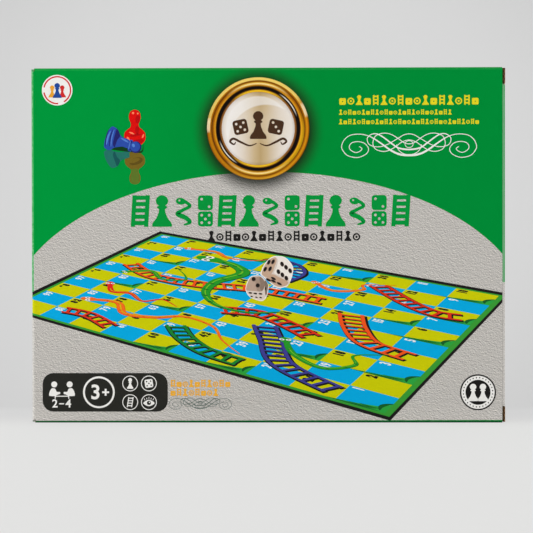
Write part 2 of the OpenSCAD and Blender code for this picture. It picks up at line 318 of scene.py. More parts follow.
def fill_fold_wear_and_highlight(wires, given):
    """Pale wear and painted highlight where two printed faces meet. The level folds show little of it."""
    level_share, least = 0.05, 0.35
    centred = wires.vector("SUBTRACT", given["Place"], (0, 0, CARTON_H / 2))
    parts = wires.split(wires.vector("ABSOLUTE", centred))
    near = []
    for part, half in zip(parts, (CARTON_W / 2, CARTON_D / 2, CARTON_H / 2)):
        near.append(wires.spread(part, half - FOLD_WEAR_AND_HIGHLIGHT, half, soft=True))
    upright = wires.times(near[0], near[1])
    level = wires.times(wires.larger(near[0], near[1]), near[2])
    closest = wires.larger(upright, wires.times(level, level_share))
    broken = wires.spread(wires.noise(given["Place"], 0.9, 4), 0.42, 0.62)
    lift = wires.times(wires.plus(least, broken), given["Amount"])
    return (wires.times(closest, lift),)


def build_shader_groups():
    shader_group(
        "paper_grain",
        [("Place", "Vector", None), ("Scale", "Float", 1.5), ("Contrast", "Float", 0.1)],
        [("Shade", "Float"), ("Height", "Float")],
        fill_paper_grain,
    )
    shader_group(
        "pebble_grain",
        [("Place", "Vector", None), ("Size", "Float", 2.0), ("Contrast", "Float", 1.0)],
        [("Shade", "Float"), ("Height", "Float")],
        fill_pebble_grain,
    )
    shader_group(
        "flutes",
        [
            ("Across", "Float", 0.0), ("Along", "Float", 0.0),
            ("Board", "Color", (0.4, 0.25, 0.12, 1)), ("Hollow", "Color", (0.05, 0.03, 0.015, 1)),
        ],
        [("Colour", "Color"), ("Height", "Float")],
        fill_flutes,
    )
    shader_group(
        "fold_wear_and_highlight",
        [("Place", "Vector", None), ("Amount", "Float", 0.3)],
        [("Mask", "Float")],
        fill_fold_wear_and_highlight,
    )


def finish(name, make, roughness=0.45, specular=0.2, bump=0.0, **constants):
    """Material whose make(wires, place) gives the base colour, and a height where bump isn't zero."""
    known = bpy.data.materials.get(name)
    if known:
        return known
    material = bpy.data.materials.new(name)
    material.use_nodes = True
    wires = Wiring(material.node_tree)
    shader = material.node_tree.nodes["Principled BSDF"]
    colour, height = make(wires, wires.place())
    wires.feed(shader.inputs["Base Color"], colour)
    shader.inputs["Roughness"].default_value = roughness
    shader.inputs["Specular IOR Level"].default_value = specular
    for label, value in constants.items():
        shader.inputs[label.replace("_", " ")].default_value = value
    if bump:
        relief = wires.add("ShaderNodeBump")
        relief.inputs["Strength"].default_value = 0.6
        relief.inputs["Distance"].default_value = bump * MM
        wires.feed(relief.inputs["Height"], height)
        wires.feed(shader.inputs["Normal"], relief.outputs[0])
    return material


def grained(colour, scale=1.5, contrast=0.12):
    def make(wires, place):
        grain = wires.group("paper_grain", place=place, scale=scale, contrast=contrast)
        return wires.shade(colour, grain["Shade"]), grain["Height"]

    return make


# Inks that aren't a user's choice, as display values
INKS = {
    "deep_green": (20, 92, 40), "slate": (78, 100, 92), "leaf_green": (44, 160, 62), "lime": (120, 190, 40),
    "snake_green": (38, 150, 40), "snake_orange": (240, 110, 30), "snake_red": (222, 40, 30),
    "ladder_red": (216, 50, 26), "ladder_orange": (238, 84, 28), "ladder_green": (24, 128, 48),
    "ladder_blue": (62, 62, 142), "panel_black": (40, 40, 36), "brown": (70, 46, 30),
    "toy_red": (220, 12, 9), "toy_red_dark": (184, 8, 12), "toy_red_light": (255, 130, 90),
    "toy_blue": (44, 76, 166), "toy_blue_dark": (34, 34, 104), "toy_blue_light": (84, 128, 206),
    "mirror_blue": (36, 112, 100), "mirror_blue_dark": (24, 84, 84), "mirror_red": (118, 98, 30),
    "mirror_red_dark": (96, 78, 24), "mirror_olive": (92, 116, 40), "contact_shadow": (16, 58, 24),
    "die_light": (238, 229, 220), "die_edge": (244, 236, 230), "die_side": (196, 164, 140),
    "die_low": (196, 162, 138), "die_mid": (216, 202, 192), "die_top": (186, 159, 142),
    "die_dim": (164, 140, 124), "die_dark": (138, 117, 103), "die_far": (130, 112, 96),
    "pip": (34, 28, 26), "pip_soft": (120, 100, 92),
    "emblem_red": (206, 44, 44), "emblem_blue": (34, 72, 150), "emblem_amber": (232, 160, 50),
}


def ink(name):
    """Printed ink, by its name in INKS or in the property groups."""
    scene = bpy.context.scene
    look, art, book = scene.carton_look, scene.front_print, scene.board_picture
    chosen = {
        "green": look.green, "silver": look.silver, "yellow": art.yellow, "orange": art.orange,
        "black": art.black, "white": art.white, "square_yellow": book.yellow, "square_blue": book.blue,
        "border_green": book.border,
    }
    colour = tuple(chosen[name]) if name in chosen else srgb(*INKS[name])
    return finish("ink_" + name, grained(colour, 1.5, 0.1), roughness=0.5, specular=0.05)


def carton_print(on_ends=False):
    """Printed liner: green field over a grained silver dome, with the medallion's soft shadow."""
    look, art = bpy.context.scene.carton_look, bpy.context.scene.front_print
    side_x = CARTON_W / 2
    near_black = (0.012, 0.016, 0.008)

    def make(wires, place):
        x, _, z = wires.split(place)
        sideways = wires.math("DIVIDE", x, look.dome_half_width)
        rest = wires.larger(wires.minus(1.0, wires.times(sideways, sideways)), 0.0)
        dome = wires.math("MULTIPLY_ADD", wires.math("SQRT", rest), look.dome_rise, look.dome_base)
        step = wires.times(wires.math("SIGN", x), look.end_zone_step)
        ends = wires.plus(step, look.end_zone)
        # The grey ends level on both ends and round the sleeve's sides, and in the dome elsewhere
        if on_ends:
            edge = ends
        else:
            at_end = wires.above(wires.absolute(x), side_x - 1.2)
            edge = wires.plus(dome, wires.times(at_end, wires.minus(ends, dome)))
        grey = wires.spread(wires.minus(edge, z), -0.1, 0.1)
        grain = wires.group("paper_grain", place=place, scale=1.2, contrast=0.07)
        pebble = wires.group("pebble_grain", place=place, size=1.05, contrast=2.6)
        # Painted light: the green is lighter on the left and darker on the right, as the key lamp falls from
        # the left
        painted_side_light = wires.spread(x, -120.0, 30.0, 1.04, 0.89, soft=True)
        green = wires.shade(wires.vector("SCALE", tuple(look.green), scale=painted_side_light), grain["Shade"])
        # The pale floor lights the lowest part of the grey
        floor_light = wires.spread(z, 2.0, 14.0, 1.08, 1.0)
        silver = wires.vector("SCALE", tuple(look.silver), scale=floor_light)
        colour = wires.mix(grey, green, wires.shade(silver, pebble["Shade"]))
        # Painted shade: a darker green band along the base, wider to the right, and over the whole bottom
        # panel, where the bottom fold turns from the light
        base = wires.math("LESS_THAN", z, wires.spread(x, -150.0, 150.0, 1.2, 1.75))
        shaded_base_colour = wires.mix(wires.spread(z, 1.1, 1.6), tuple(look.base_shade_green), tuple(look.green))
        colour = wires.mix(base, colour, shaded_base_colour)
        from_middle = wires.vector("SUBTRACT", place, (art.medallion_x, FRONT_Y, art.medallion_z - 1.3))
        distance = wires.vector("LENGTH", wires.vector("MULTIPLY", from_middle, (1.0, 3.0, 1.0)))
        shadow_out, shadow_in = art.medallion_r + 10.5, art.medallion_r - 2.5
        shadow = wires.spread(distance, shadow_out, shadow_in, 0.0, 0.96, soft=True)
        colour = wires.mix(shadow, colour, near_black)
        # Pale wear along the folds, which is also a painted highlight where the folds catch the light
        wear_and_highlight = wires.group("fold_wear_and_highlight", place=place, amount=0.75)["Mask"]
        if on_ends:
            # Painted highlight: a pale line where the closure's fold turns out of sight
            out = wires.absolute(x)
            painted_fold_highlight = wires.spread(out, side_x - 0.1, side_x - 0.8, 0.0, 0.4, soft=True)
            on_fold = wires.above(out, side_x - 1.8)
            wear_and_highlight = wires.larger(wear_and_highlight, wires.times(painted_fold_highlight, on_fold))
        colour = wires.mix(wear_and_highlight, colour, wires.mix(grey, srgb(176, 222, 186), srgb(218, 217, 212)))
        height = wires.times(pebble["Height"], grey)
        return colour, wires.plus(height, wires.times(grain["Height"], 0.15))

    name = "carton_print_ends" if on_ends else "carton_print"
    return finish(name, make, roughness=0.5, specular=0.01, bump=0.05)


def kraft_liner():
    def make(wires, place):
        grain = wires.group("paper_grain", place=place, scale=2.2, contrast=0.5)
        colour = wires.shade(tuple(bpy.context.scene.carton_look.kraft), grain["Shade"])
        specks = wires.spread(wires.noise(place, 2.6, 5), 0.66, 0.72)
        colour = wires.mix(wires.times(specks, 0.5), colour, srgb(96, 66, 40))
        z = wires.split(place)[2]
        flutes = wires.math("SINE", wires.times(z, 2 * math.pi / FLUTE_PITCH))
        return colour, wires.math("MULTIPLY_ADD", flutes, 0.3, grain["Height"])

    return finish("kraft_liner", make, roughness=0.85, specular=0.2, bump=0.06)


def cut_edge(name, across, middle, along):
    """Cut board: the flutes show between its liners. across is the direction through the board."""

    def make(wires, place):
        centred = wires.vector("SUBTRACT", place, (0, 0, CARTON_H / 2))
        depth = wires.absolute(wires.vector("DOT_PRODUCT", centred, across))
        run = wires.vector("DOT_PRODUCT", place, along)
        board = wires.mix(wires.noise(place, 3.0, 3), srgb(120, 88, 56), srgb(164, 126, 84))
        off_middle = wires.minus(depth, middle)
        # Painted shade: the hollows between the flutes take a dark colour in place of the shade inside them
        flutes = wires.group("flutes", across=off_middle, along=run, board=board, hollow=srgb(62, 44, 28))
        # The inner side lies in the shade of the boards next to it
        dimmed = wires.spread(off_middle, -BOARD_T / 2, 0.55, 0.18, 1.2)
        return wires.shade(flutes["Colour"], dimmed), flutes["Height"]

    return finish(name, make, roughness=0.9, specular=0.1, bump=0.3)


# Flat shapes, given as outlines of points in millimetres


def smooth(points, steps=6, closed=False):
    """Soft curve that goes through the points, with a number of steps from each to the next."""
    count = len(points)
    out = []
    for i in range(count if closed else count - 1):
        near = [(i + k) % count if closed else min(max(i + k, 0), count - 1) for k in (-1, 0, 1, 2)]
        a, b, c, d = (Vector(points[k]) for k in near)
        for step in range(steps):
            t = step / steps
            bend = (2 * a - 5 * b + 4 * c - d) * t**2
            twist = (3 * b - 3 * c + d - a) * t**3
            out.append(0.5 * (2 * b + (c - a) * t + bend + twist))
    if not closed:
        out.append(Vector(points[-1]))
    return out


def moved(points, x, z, scale=1.0, turn=0.0):
    """Points scaled, turned by degrees and then moved."""
    c, s = math.cos(math.radians(turn)), math.sin(math.radians(turn))
    out = []
    for p in points:
        u, v = p[0] * scale, p[1] * scale
        out.append(Vector((x + u * c - v * s, z + u * s + v * c)))
    return out


def oval(x, z, rx, rz=None, turn=0.0, count=32):
    """Outline of an ellipse, turned by degrees."""
    rz = rx if rz is None else rz
    angles = [2 * math.pi * i / count for i in range(count)]
    return moved([(rx * math.cos(a), rz * math.sin(a)) for a in angles], x, z, turn=turn)


def rounded(x, z, width, height, radius, turn=0.0, steps=5):
    """Outline of a box with round corners, about its middle."""
    out = []
    for corner, (sx, sz) in enumerate(((1, 1), (-1, 1), (-1, -1), (1, -1))):
        for i in range(steps + 1):
            a = math.pi / 2 * (corner + i / steps)
            u = sx * (width / 2 - radius) + radius * math.cos(a)
            v = sz * (height / 2 - radius) + radius * math.sin(a)
            out.append((u, v))
    return moved(out, x, z, turn=turn)


def both_sides(half):
    """Whole outline from its right half, which goes from the foot to the top."""
    return half + [(-w, h) for w, h in reversed(half[:-1])]


def swelling(thin, more):
    """Width of a line that is thin at its ends and wider by more in its middle."""
    return lambda share: thin + more * math.sin(math.pi * share)


def cut_at(points, x, side):
    """Keeps what an outline has to the right of x, or to its left where side is -1."""
    out = []
    for i, b in enumerate(points):
        a = points[i - 1]
        if (a.x < x) != (b.x < x):
            out.append(a.lerp(b, (x - a.x) / (b.x - a.x)))
        if (b.x - x) * side >= 0:
            out.append(b)
    return out


def on_front(x, z, height):
    return x * MM, (FRONT_Y - height) * MM, z * MM


def on_left_fold(x, z, height):
    """Goes on round the front's left fold, where x is the length on the flat print."""
    radius = FOLD_R + FOLD_PROUD
    beyond = max(0.0, FOLD_X - x) / radius
    arc_x = FOLD_X - (radius + height) * math.sin(beyond) if beyond else x
    return arc_x * MM, (FRONT_Y + FOLD_R - (radius + height) * math.cos(beyond)) * MM, z * MM


def add_object(name, data):
    """Puts a mesh, a lamp, a camera or a text into the scene."""
    thing = bpy.data.objects.new(name, data)
    bpy.context.scene.collection.objects.link(thing)
    return thing


def closed_mesh(name, verts, faces, finishes, materials):
    """Mesh whose faces look outwards. finishes says which material each face has."""
    mesh = bpy.data.meshes.new(name)
    mesh.from_pydata(verts, [], faces)
    mesh.polygons.foreach_set("material_index", finishes)
    for material in materials:
        mesh.materials.append(material)
    shape = bmesh.new()
    shape.from_mesh(mesh)
    bmesh.ops.recalc_face_normals(shape, faces=shape.faces)
    shape.to_mesh(mesh)
    shape.free()
    return mesh


class PrintedLayer:
    """Collects flat shapes on a face and builds them as closed slabs, each with its ink"""

    slot = "printed_board"

    def __init__(self, name, face=on_front):
        self.name = name
        self.face = face
        self.verts = []
        self.faces = []
        self.inks = []
        self.face_inks = []

    def slab(self, verts, faces, ink_name, level, warp=None):
        """level is how far the slab stands off the face, one number or one for each point."""
        if ink_name not in self.inks:
            self.inks.append(ink_name)
        start, count = len(self.verts), len(verts)
        levels = level if isinstance(level, list) else [level] * count
        flat = [Vector(warp(v)) if warp else v for v in verts]
        for stand, source in ((levels, flat), ([0.0] * count, flat)):
            for height, v in zip(stand, source):
                self.verts.append(self.face(v[0], v[1], height))
        used = {}
        for face in faces:
            for i, a in enumerate(face):
                used.setdefault(frozenset((a, face[i - 1])), []).append((face[i - 1], a))
        new = [tuple(start + i for i in face) for face in faces]
        new += [tuple(start + count + i for i in reversed(face)) for face in faces]
        for sides in used.values():
            if len(sides) == 1:
                a, b = sides[0]
                new.append((start + b, start + a, start + count + a, start + count + b))
        self.faces += new
        self.face_inks += [self.inks.index(ink_name)] * len(new)

    def fill(self, ink_name, level, *outlines, warp=None):
        """Area inside the first outline, less the ones after it."""
        loops = [[Vector((p[0], p[1], 0)) for p in outline] for outline in outlines if len(outline) > 2]
        if loops:
            points = [p for loop in loops for p in loop]
            self.slab(points, [tuple(t) for t in geometry.tessellate_polygon(loops)], ink_name, level, warp)

    def line(self, ink_name, level, path, width, warp=None, rise=0.0, closed=False):
        """Ribbon along a path. width is one number, or a rule of how far along it is, from 0 to 1."""
        count = len(path)
        verts, levels = [], []
        for i, p in enumerate(path):
            a = path[i - 1] if closed or i else p
            b = path[(i + 1) % count] if closed or i < count - 1 else p
            along = (Vector(b) - Vector(a)).normalized()
            share = i / (count - 1)
            half = (width(share) if callable(width) else width) / 2
            side = Vector((-along.y, along.x)) * half
            verts += [Vector(p) + side, Vector(p) - side]
            levels += [level + rise * share] * 2
        faces = []
        for i in range(count if closed else count - 1):
            faces.append((2 * i, 2 * i + 1, (2 * i + 3) % (2 * count), (2 * i + 2) % (2 * count)))
        self.slab(verts, faces, ink_name, levels, warp)

    def build(self, ride=True):
        materials = [ink(name) if isinstance(name, str) else name for name in self.inks]
        mesh = closed_mesh(self.name, self.verts, self.faces, self.face_inks, materials)
        piece = add_object(self.name, mesh)
        if ride:
            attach(piece, "carton")
        return piece


# Space between two digits, and how much the built-in font's digits are thickened, all at a height of one
DIGIT_GAP = 0.14
PANEL_WEIGHT, NUMBER_WEIGHT, BOLD_WEIGHT = 0.022, 0.035, 0.085


def digit_shapes(weight):
    """Flat mesh of each digit of the built-in font, one unit high, as points, faces and width."""
    shapes = {}
    for digit in "0123456789":
        text = bpy.data.curves.new("digit", "FONT")
        text.body = digit
        text.resolution_u = 3
        text.offset = weight
        holder = add_object("digit", text)
        bpy.context.view_layer.update()
        mesh = bpy.data.meshes.new_from_object(holder.evaluated_get(bpy.context.evaluated_depsgraph_get()))
        points = [v.co.xy for v in mesh.vertices]
        faces = [tuple(p.vertices) for p in mesh.polygons]
        low_x, low_y = min(p.x for p in points), min(p.y for p in points)
        high = max(p.y for p in points) - low_y
        points = [Vector(((p.x - low_x) / high, (p.y - low_y) / high)) for p in points]
        shapes[digit] = (points, faces, max(p.x for p in points))
        bpy.data.objects.remove(holder)
        bpy.data.meshes.remove(mesh)
        bpy.data.curves.remove(text)
    return shapes


def number_width(digits, text, height, narrow=1.0):
    return height * narrow * (sum(digits[d][2] for d in text) + DIGIT_GAP * (len(text) - 1))


def print_number(layer, digits, text, x, z, height, ink_name, level, warp=None, narrow=1.0):
    """Prints a number whose lower left corner is at x, z."""
    for digit in text:
        points, faces, width = digits[digit]
        here = [Vector((x + p.x * height * narrow, z + p.y * height)) for p in points]
        layer.slab(here, faces, ink_name, level, warp)
        x += (width + DIGIT_GAP) * height * narrow


# Motifs, all drawn about the middle of their foot


# Half of a standing pawn, as (half width, height) for a pawn one unit high
PAWN_HALF = [
    (0.29, 0.0), (0.30, 0.06), (0.27, 0.14), (0.17, 0.27), (0.10, 0.45), (0.09, 0.56), (0.15, 0.60),
    (0.15, 0.64), (0.10, 0.67), (0.17, 0.74), (0.19, 0.83), (0.15, 0.93), (0.07, 0.99), (0.0, 1.0),
]


def pawn_outline(x, z, height, wide=1.0):
    return moved(both_sides([(w * height * wide, h * height) for w, h in PAWN_HALF]), x, z)


# Where a die's pips are, in quarters of its side, by their number
PIP_PLACES = {
    1: [(0, 0)],
    2: [(-1, 1), (1, -1)],
    3: [(-1, 1), (0, 0), (1, -1)],
    5: [(-1, 1), (1, 1), (0, 0), (-1, -1), (1, -1)],
}


def die_icon(layer, x, z, size, ink_name, level, pips=5, turn=0.0):
    holes = []
    for u, v in PIP_PLACES[pips]:
        hole = oval(u * size * 0.25, v * size * 0.25, size * 0.09, count=16)
        holes.append(moved(hole, x, z, turn=turn))
    layer.fill(ink_name, level, rounded(x, z, size, size, size * 0.2, turn), *holes)


def ladder_icon(layer, x, z, width, height, lean, ink_name, level, rungs=6, bar=1.5):
    half = Vector((width / 2, 0))
    for side in (-1, 1):
        foot = Vector((x + side * width / 2, z))
        head = Vector((x + side * width / 2 + lean, z + height))
        layer.line(ink_name, level, [foot, head], bar)
    for i in range(rungs):
        share = (i + 0.6) / rungs
        middle = Vector((x + lean * share, z + height * share))
        layer.line(ink_name, level + 0.004, [middle - half, middle + half], bar)


# Upright snake with three bends, from its tail, as shares of its width and height
SNAKE_PATH = [
    (0.0, 0.0), (0.42, 0.10), (0.1, 0.28), (-0.42, 0.42), (0.0, 0.58), (0.42, 0.72), (0.1, 0.88), (-0.2, 0.9),
]


def snake_icon(layer, x, z, width, height, ink_name, level, eye):
    curve = smooth([(x + u * width, z + v * height) for u, v in SNAKE_PATH], 8)

    def girth(share):
        return height * (0.05 + 0.13 * math.sin(math.pi * min(share * 1.5, 0.8)))

    layer.line(ink_name, level, curve, girth)
    head = curve[-1]
    layer.fill(ink_name, level + 0.006, oval(head.x, head.y, height * 0.19, height * 0.13, -6))
    eye_x, eye_z = head.x - height * 0.05, head.y + height * 0.03
    layer.fill(eye, level + 0.012, oval(eye_x, eye_z, height * 0.035, count=12))


def diamond(x, z, width, height):
    return moved([(width / 2, 0), (0, height / 2), (-width / 2, 0), (0, -height / 2)], x, z)


# Left half of the flourish about its middle, millimetres: the spiral with the long band, and two loops
FLOURISH_BAND = [
    (-31.9, -0.6), (-30.2, -2.0), (-31.6, -3.6), (-34.4, -4.4), (-37.5, -2.8), (-38.4, -0.6), (-36.9, 1.7),
    (-33.2, 2.6), (-28.8, 1.6), (-26.1, -1.6), (-26.9, -4.7), (-30.4, -6.9), (-34.4, -7.6), (-39.7, -6.2),
    (-42.8, -2.5), (-43.2, 0.0), (-41.6, 3.7), (-37.9, 6.6), (-32.2, 7.4), (-27.2, 6.6), (-22.9, 4.7),
    (-17.2, 0.9), (-11.6, -3.1), (-6.0, -5.6), (0.0, -6.2),
]
FLOURISH_LOOPS = [
    [
        (0.0, 1.1), (-3.5, 2.0), (-7.2, 4.7), (-11.6, 7.2), (-15.7, 8.0), (-19.7, 7.2), (-22.2, 5.3),
        (-23.2, 1.2), (-21.5, -2.2), (-17.1, -3.7), (-12.9, -3.1), (-9.0, -0.9), (-5.2, 1.9), (-2.4, 3.1),
        (0.0, 3.6),
    ],
    [
        (0.0, -2.5), (-6.6, -1.6), (-11.0, 1.2), (-16.0, 5.0), (-19.7, 7.2), (-22.9, 7.6), (-25.7, 6.2),
        (-26.9, 4.1), (-25.7, 0.9), (-22.2, -0.6), (-17.9, -0.6), (-13.5, 0.9), (-9.7, 3.1), (-6.0, 5.3),
        (-3.2, 6.9), (0.0, 7.5),
    ],
]


def flourish(layer, x, z, scale, ink_name, level, thin, thick):
    """Symmetric flourish about its middle. Its band is thick from 0.4 to 0.6 of its length."""

    def mirrored(half):
        return [(-u, v) for u, v in half]

    def band_width(s):
        low, high = 0.40, 0.60
        swell = max(0.0, math.sin(math.pi * (s - low) / (high - low)))
        return thin + (thick - thin) * swell if low < s < high else thin

    band = smooth(moved(FLOURISH_BAND + mirrored(FLOURISH_BAND[-2::-1]), x, z, scale), 6)
    layer.line(ink_name, level, band, band_width, rise=0.03)
    for number, half in enumerate(FLOURISH_LOOPS):
        loop = smooth(moved(half + mirrored(half[-2:0:-1]), x, z, scale), 6, closed=True)
        heavy = thick * 0.75 if number else thin

        def loop_width(s, heavy=heavy):
            return thin + (heavy - thin) * max(0.0, math.cos(2 * math.pi * s)) ** 2

        layer.line(ink_name, level + 0.04 + 0.04 * number, loop, loop_width, rise=0.03, closed=True)
    turns = [a / 16 * math.pi for a in range(32)]
    centre = [(2.6 * math.cos(a), 0.9 + 2.2 * math.sin(a)) for a in turns]
    layer.line(ink_name, level + 0.12, moved(centre, x, z, scale), thin * 0.8, closed=True)
    half_turns = [a / 24 * math.pi for a in range(25)]
    ring = [(7.9 * math.cos(a), 0.7 - 6.6 * abs(math.sin(a))) for a in half_turns]
    layer.line(ink_name, level + 0.13, moved(ring, x, z, scale), thin * 0.9)


# Carton


def depth_in_carton(point):
    """How far a point is from the carton's outside, millimetres, below zero inside it."""
    half = Vector((CARTON_W / 2 - FOLD_R, CARTON_D / 2 - FOLD_R, CARTON_H / 2 - FOLD_R))
    q = Vector((abs(point.x), abs(point.y), abs(point.z - CARTON_H / 2))) - half
    outside = Vector([max(part, 0.0) for part in q]).length
    return outside + min(max(q), 0.0) - FOLD_R


def dress_board(node, across, edge, outside, tuck_side=None, hinge_side=Vector((0, 0, 0))):
    """Finishes a corrugated panel: print outside, liner inside, flutes where the board is cut."""
    # How deep a printed face may lie, and how squarely a face has to look along a direction
    skin, squarely, roughly, outwards = -0.06, 0.5, 0.3, 0.45
    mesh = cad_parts[node].data
    mesh.materials.clear()
    for material in (outside, kraft_liner(), edge):
        mesh.materials.append(material)
    direction = Vector(across).normalized()
    for polygon in mesh.polygons:
        facing = abs(polygon.normal.dot(direction))
        if tuck_side:
            printed = polygon.normal.dot(tuck_side) > outwards and facing > roughly
        else:
            printed = depth_in_carton(polygon.center / MM) > skin and facing > squarely
            printed = printed or polygon.normal.dot(hinge_side) > squarely
        polygon.material_index = 0 if printed else 1 if facing > roughly else 2


def dress_whole(node, material):
    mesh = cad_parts[node].data
    mesh.materials.clear()
    mesh.materials.append(material)


def dress_sleeve():
    face = carton_print()
    upright = cut_edge("cut_edge_front_back", (0, 1, 0), CARTON_D / 2 - BOARD_T / 2, (1, 0, 1))
    level = cut_edge("cut_edge_top_bottom", (0, 0, 1), CARTON_H / 2 - BOARD_T / 2, (1, 1, 0))
    inner = cut_edge("cut_edge_glue_flap", (0, 1, 0), CARTON_D / 2 - BOARD_T * 1.5, (1, 0, 1))
    for node in ("front_panel", "back_panel"):
        dress_board(node, (0, 1, 0), upright, face)
    for node in ("top_panel", "bottom_panel"):
        dress_board(node, (0, 0, 1), level, face)
    dress_board("glue_flap", (0, 1, 0), inner, kraft_liner())


def crease(name, centre, from_angle, to_angle, plane, along, rest, proud=FOLD_PROUD):
    """Bent strip of board over a fold.

    centre is the fold's middle in the plane's first two directions, and along is its span in the third.
    The bend goes from one angle to the other, and rest is the finish outside.
    """
    steps, station_pitch, sharp_above = 12, 12, math.radians(35)

    def ray(angle):
        return Vector((math.cos(math.radians(angle)), math.sin(math.radians(angle))))

    def point(p, w=sum(along) / 2):
        """Place of a point of the profile, at w along the fold or in its middle."""
        co = [0.0, 0.0, 0.0]
        for axis, value in zip(plane, (centre[0] + p.x, centre[1] + p.y, w)):
            co[axis] = value
        return Vector(co) * MM

    turn = 1 if to_angle > from_angle else -1
    before = ray(from_angle - 90 * turn) * FOLD_LIP
    after = ray(to_angle + 90 * turn) * FOLD_LIP
    profile = []
    for radius in (FOLD_R + proud, FOLD_R - BOARD_T - proud):
        arc = [ray(from_angle + (to_angle - from_angle) * i / steps) * radius for i in range(steps + 1)]
        profile.append([arc[0] + before, *arc, arc[-1] + after])
    count = len(profile[0])
    stations = max(2, round((along[1] - along[0]) / station_pitch))
    heights = [along[0] + (along[1] - along[0]) * s / (stations - 1) for s in range(stations)]
    verts = [point(p, w) for w in heights for row in profile for p in row]
    faces, finishes = [], []

    def face(number, *corners):
        """Face with a finish's number. Each corner is a station, a row and a place in the row."""
        faces.append(tuple(s * 2 * count + row * count + i for s, row, i in corners))
        finishes.append(number)

    for s in range(stations - 1):
        for i in range(count - 1):
            for row in (0, 1):
                face(row, (s, row, i), (s, row, i + 1), (s + 1, row, i + 1), (s + 1, row, i))
        for i in (0, count - 1):
            face(1, (s, 0, i), (s, 1, i), (s + 1, 1, i), (s + 1, 0, i))
    for s in (0, stations - 1):
        for i in range(count - 1):
            face(1, (s, 0, i), (s, 0, i + 1), (s, 1, i + 1), (s, 1, i))
    mesh = closed_mesh(name, verts, faces, finishes, (rest, kraft_liner()))
    mesh.shade_smooth()
    mesh.set_sharp_from_angle(angle=sharp_above)
    piece = add_object(name, mesh)
    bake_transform(piece)


def dress_ends():
    face, ends, kraft = carton_print(), carton_print(on_ends=True), kraft_liner()
    plate_edge = cut_edge("cut_edge_closures", (1, 0, 0), CARTON_W / 2 - BOARD_T / 2, (0, 1, 1))
    dust_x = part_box("right_dust_flap_upper")[1].x / MM
    dust_edge = cut_edge("cut_edge_dust_flaps", (1, 0, 0), dust_x - BOARD_T / 2, (0, 1, 1))
    tuck_y = -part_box("right_tuck_flap")[0].y / MM
    lean = (math.sin(TUCK_LEAN), math.cos(TUCK_LEAN), 0)
    tuck_middle = tuck_y * lean[1] - BOARD_T / 2 - (CARTON_W / 2 - FOLD_R) * lean[0]
    tuck_edge = cut_edge("cut_edge_tuck_flaps", lean, abs(tuck_middle), (1, 0, 1))
    for side, s in (("right", 1), ("left", -1)):
        closure, tuck_flap = side + "_closure", side + "_tuck_flap"
        dress_board(closure, (1, 0, 0), plate_edge, ends, hinge_side=Vector((0, s, 0)))
        outwards = Vector((0.4 * s, -0.9 * s, 0)).normalized()
        dress_board(tuck_flap, lean, tuck_edge, ends, outwards)
        fold_x, fold_y = s * (CARTON_W / 2 - FOLD_R), s * (CARTON_D / 2 - FOLD_R)
        turn = 0 if s > 0 else 180
        crease(
            side + "_hinge_crease", (fold_x, fold_y), turn + 90, turn,
            (0, 1, 2), (FOLD_R, CARTON_H - FOLD_R), face,
        )
        tuck_fold, tucked = (fold_x, -s * (tuck_y - FOLD_R)), turn - 90 - math.degrees(TUCK_LEAN)
        crease(
            side + "_tuck_crease", tuck_fold, turn, tucked,
            (0, 1, 2), (CORNER_SLIT, CARTON_H - CORNER_SLIT), ends, TUCK_PROUD,
        )
        for level, t in (("upper", 1), ("lower", -1)):
            node = f"{side}_dust_flap_{level}"
            dress_board(node, (1, 0, 0), dust_edge, kraft)
            low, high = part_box(node)
            dust_fold = (s * (dust_x - FOLD_R), CARTON_H - FOLD_R if t > 0 else FOLD_R)
            crease(
                f"{side}_dust_crease_{level}", dust_fold, 90 * t, 0 if s > 0 else 180 * t,
                (0, 2, 1), (low.y / MM, high.y / MM), kraft,
            )


# Printed front


def from_medallion(wires, place):
    """Place about the medallion's middle."""
    art = bpy.context.scene.front_print
    return wires.vector("SUBTRACT", place, (art.medallion_x, FRONT_Y, art.medallion_z))


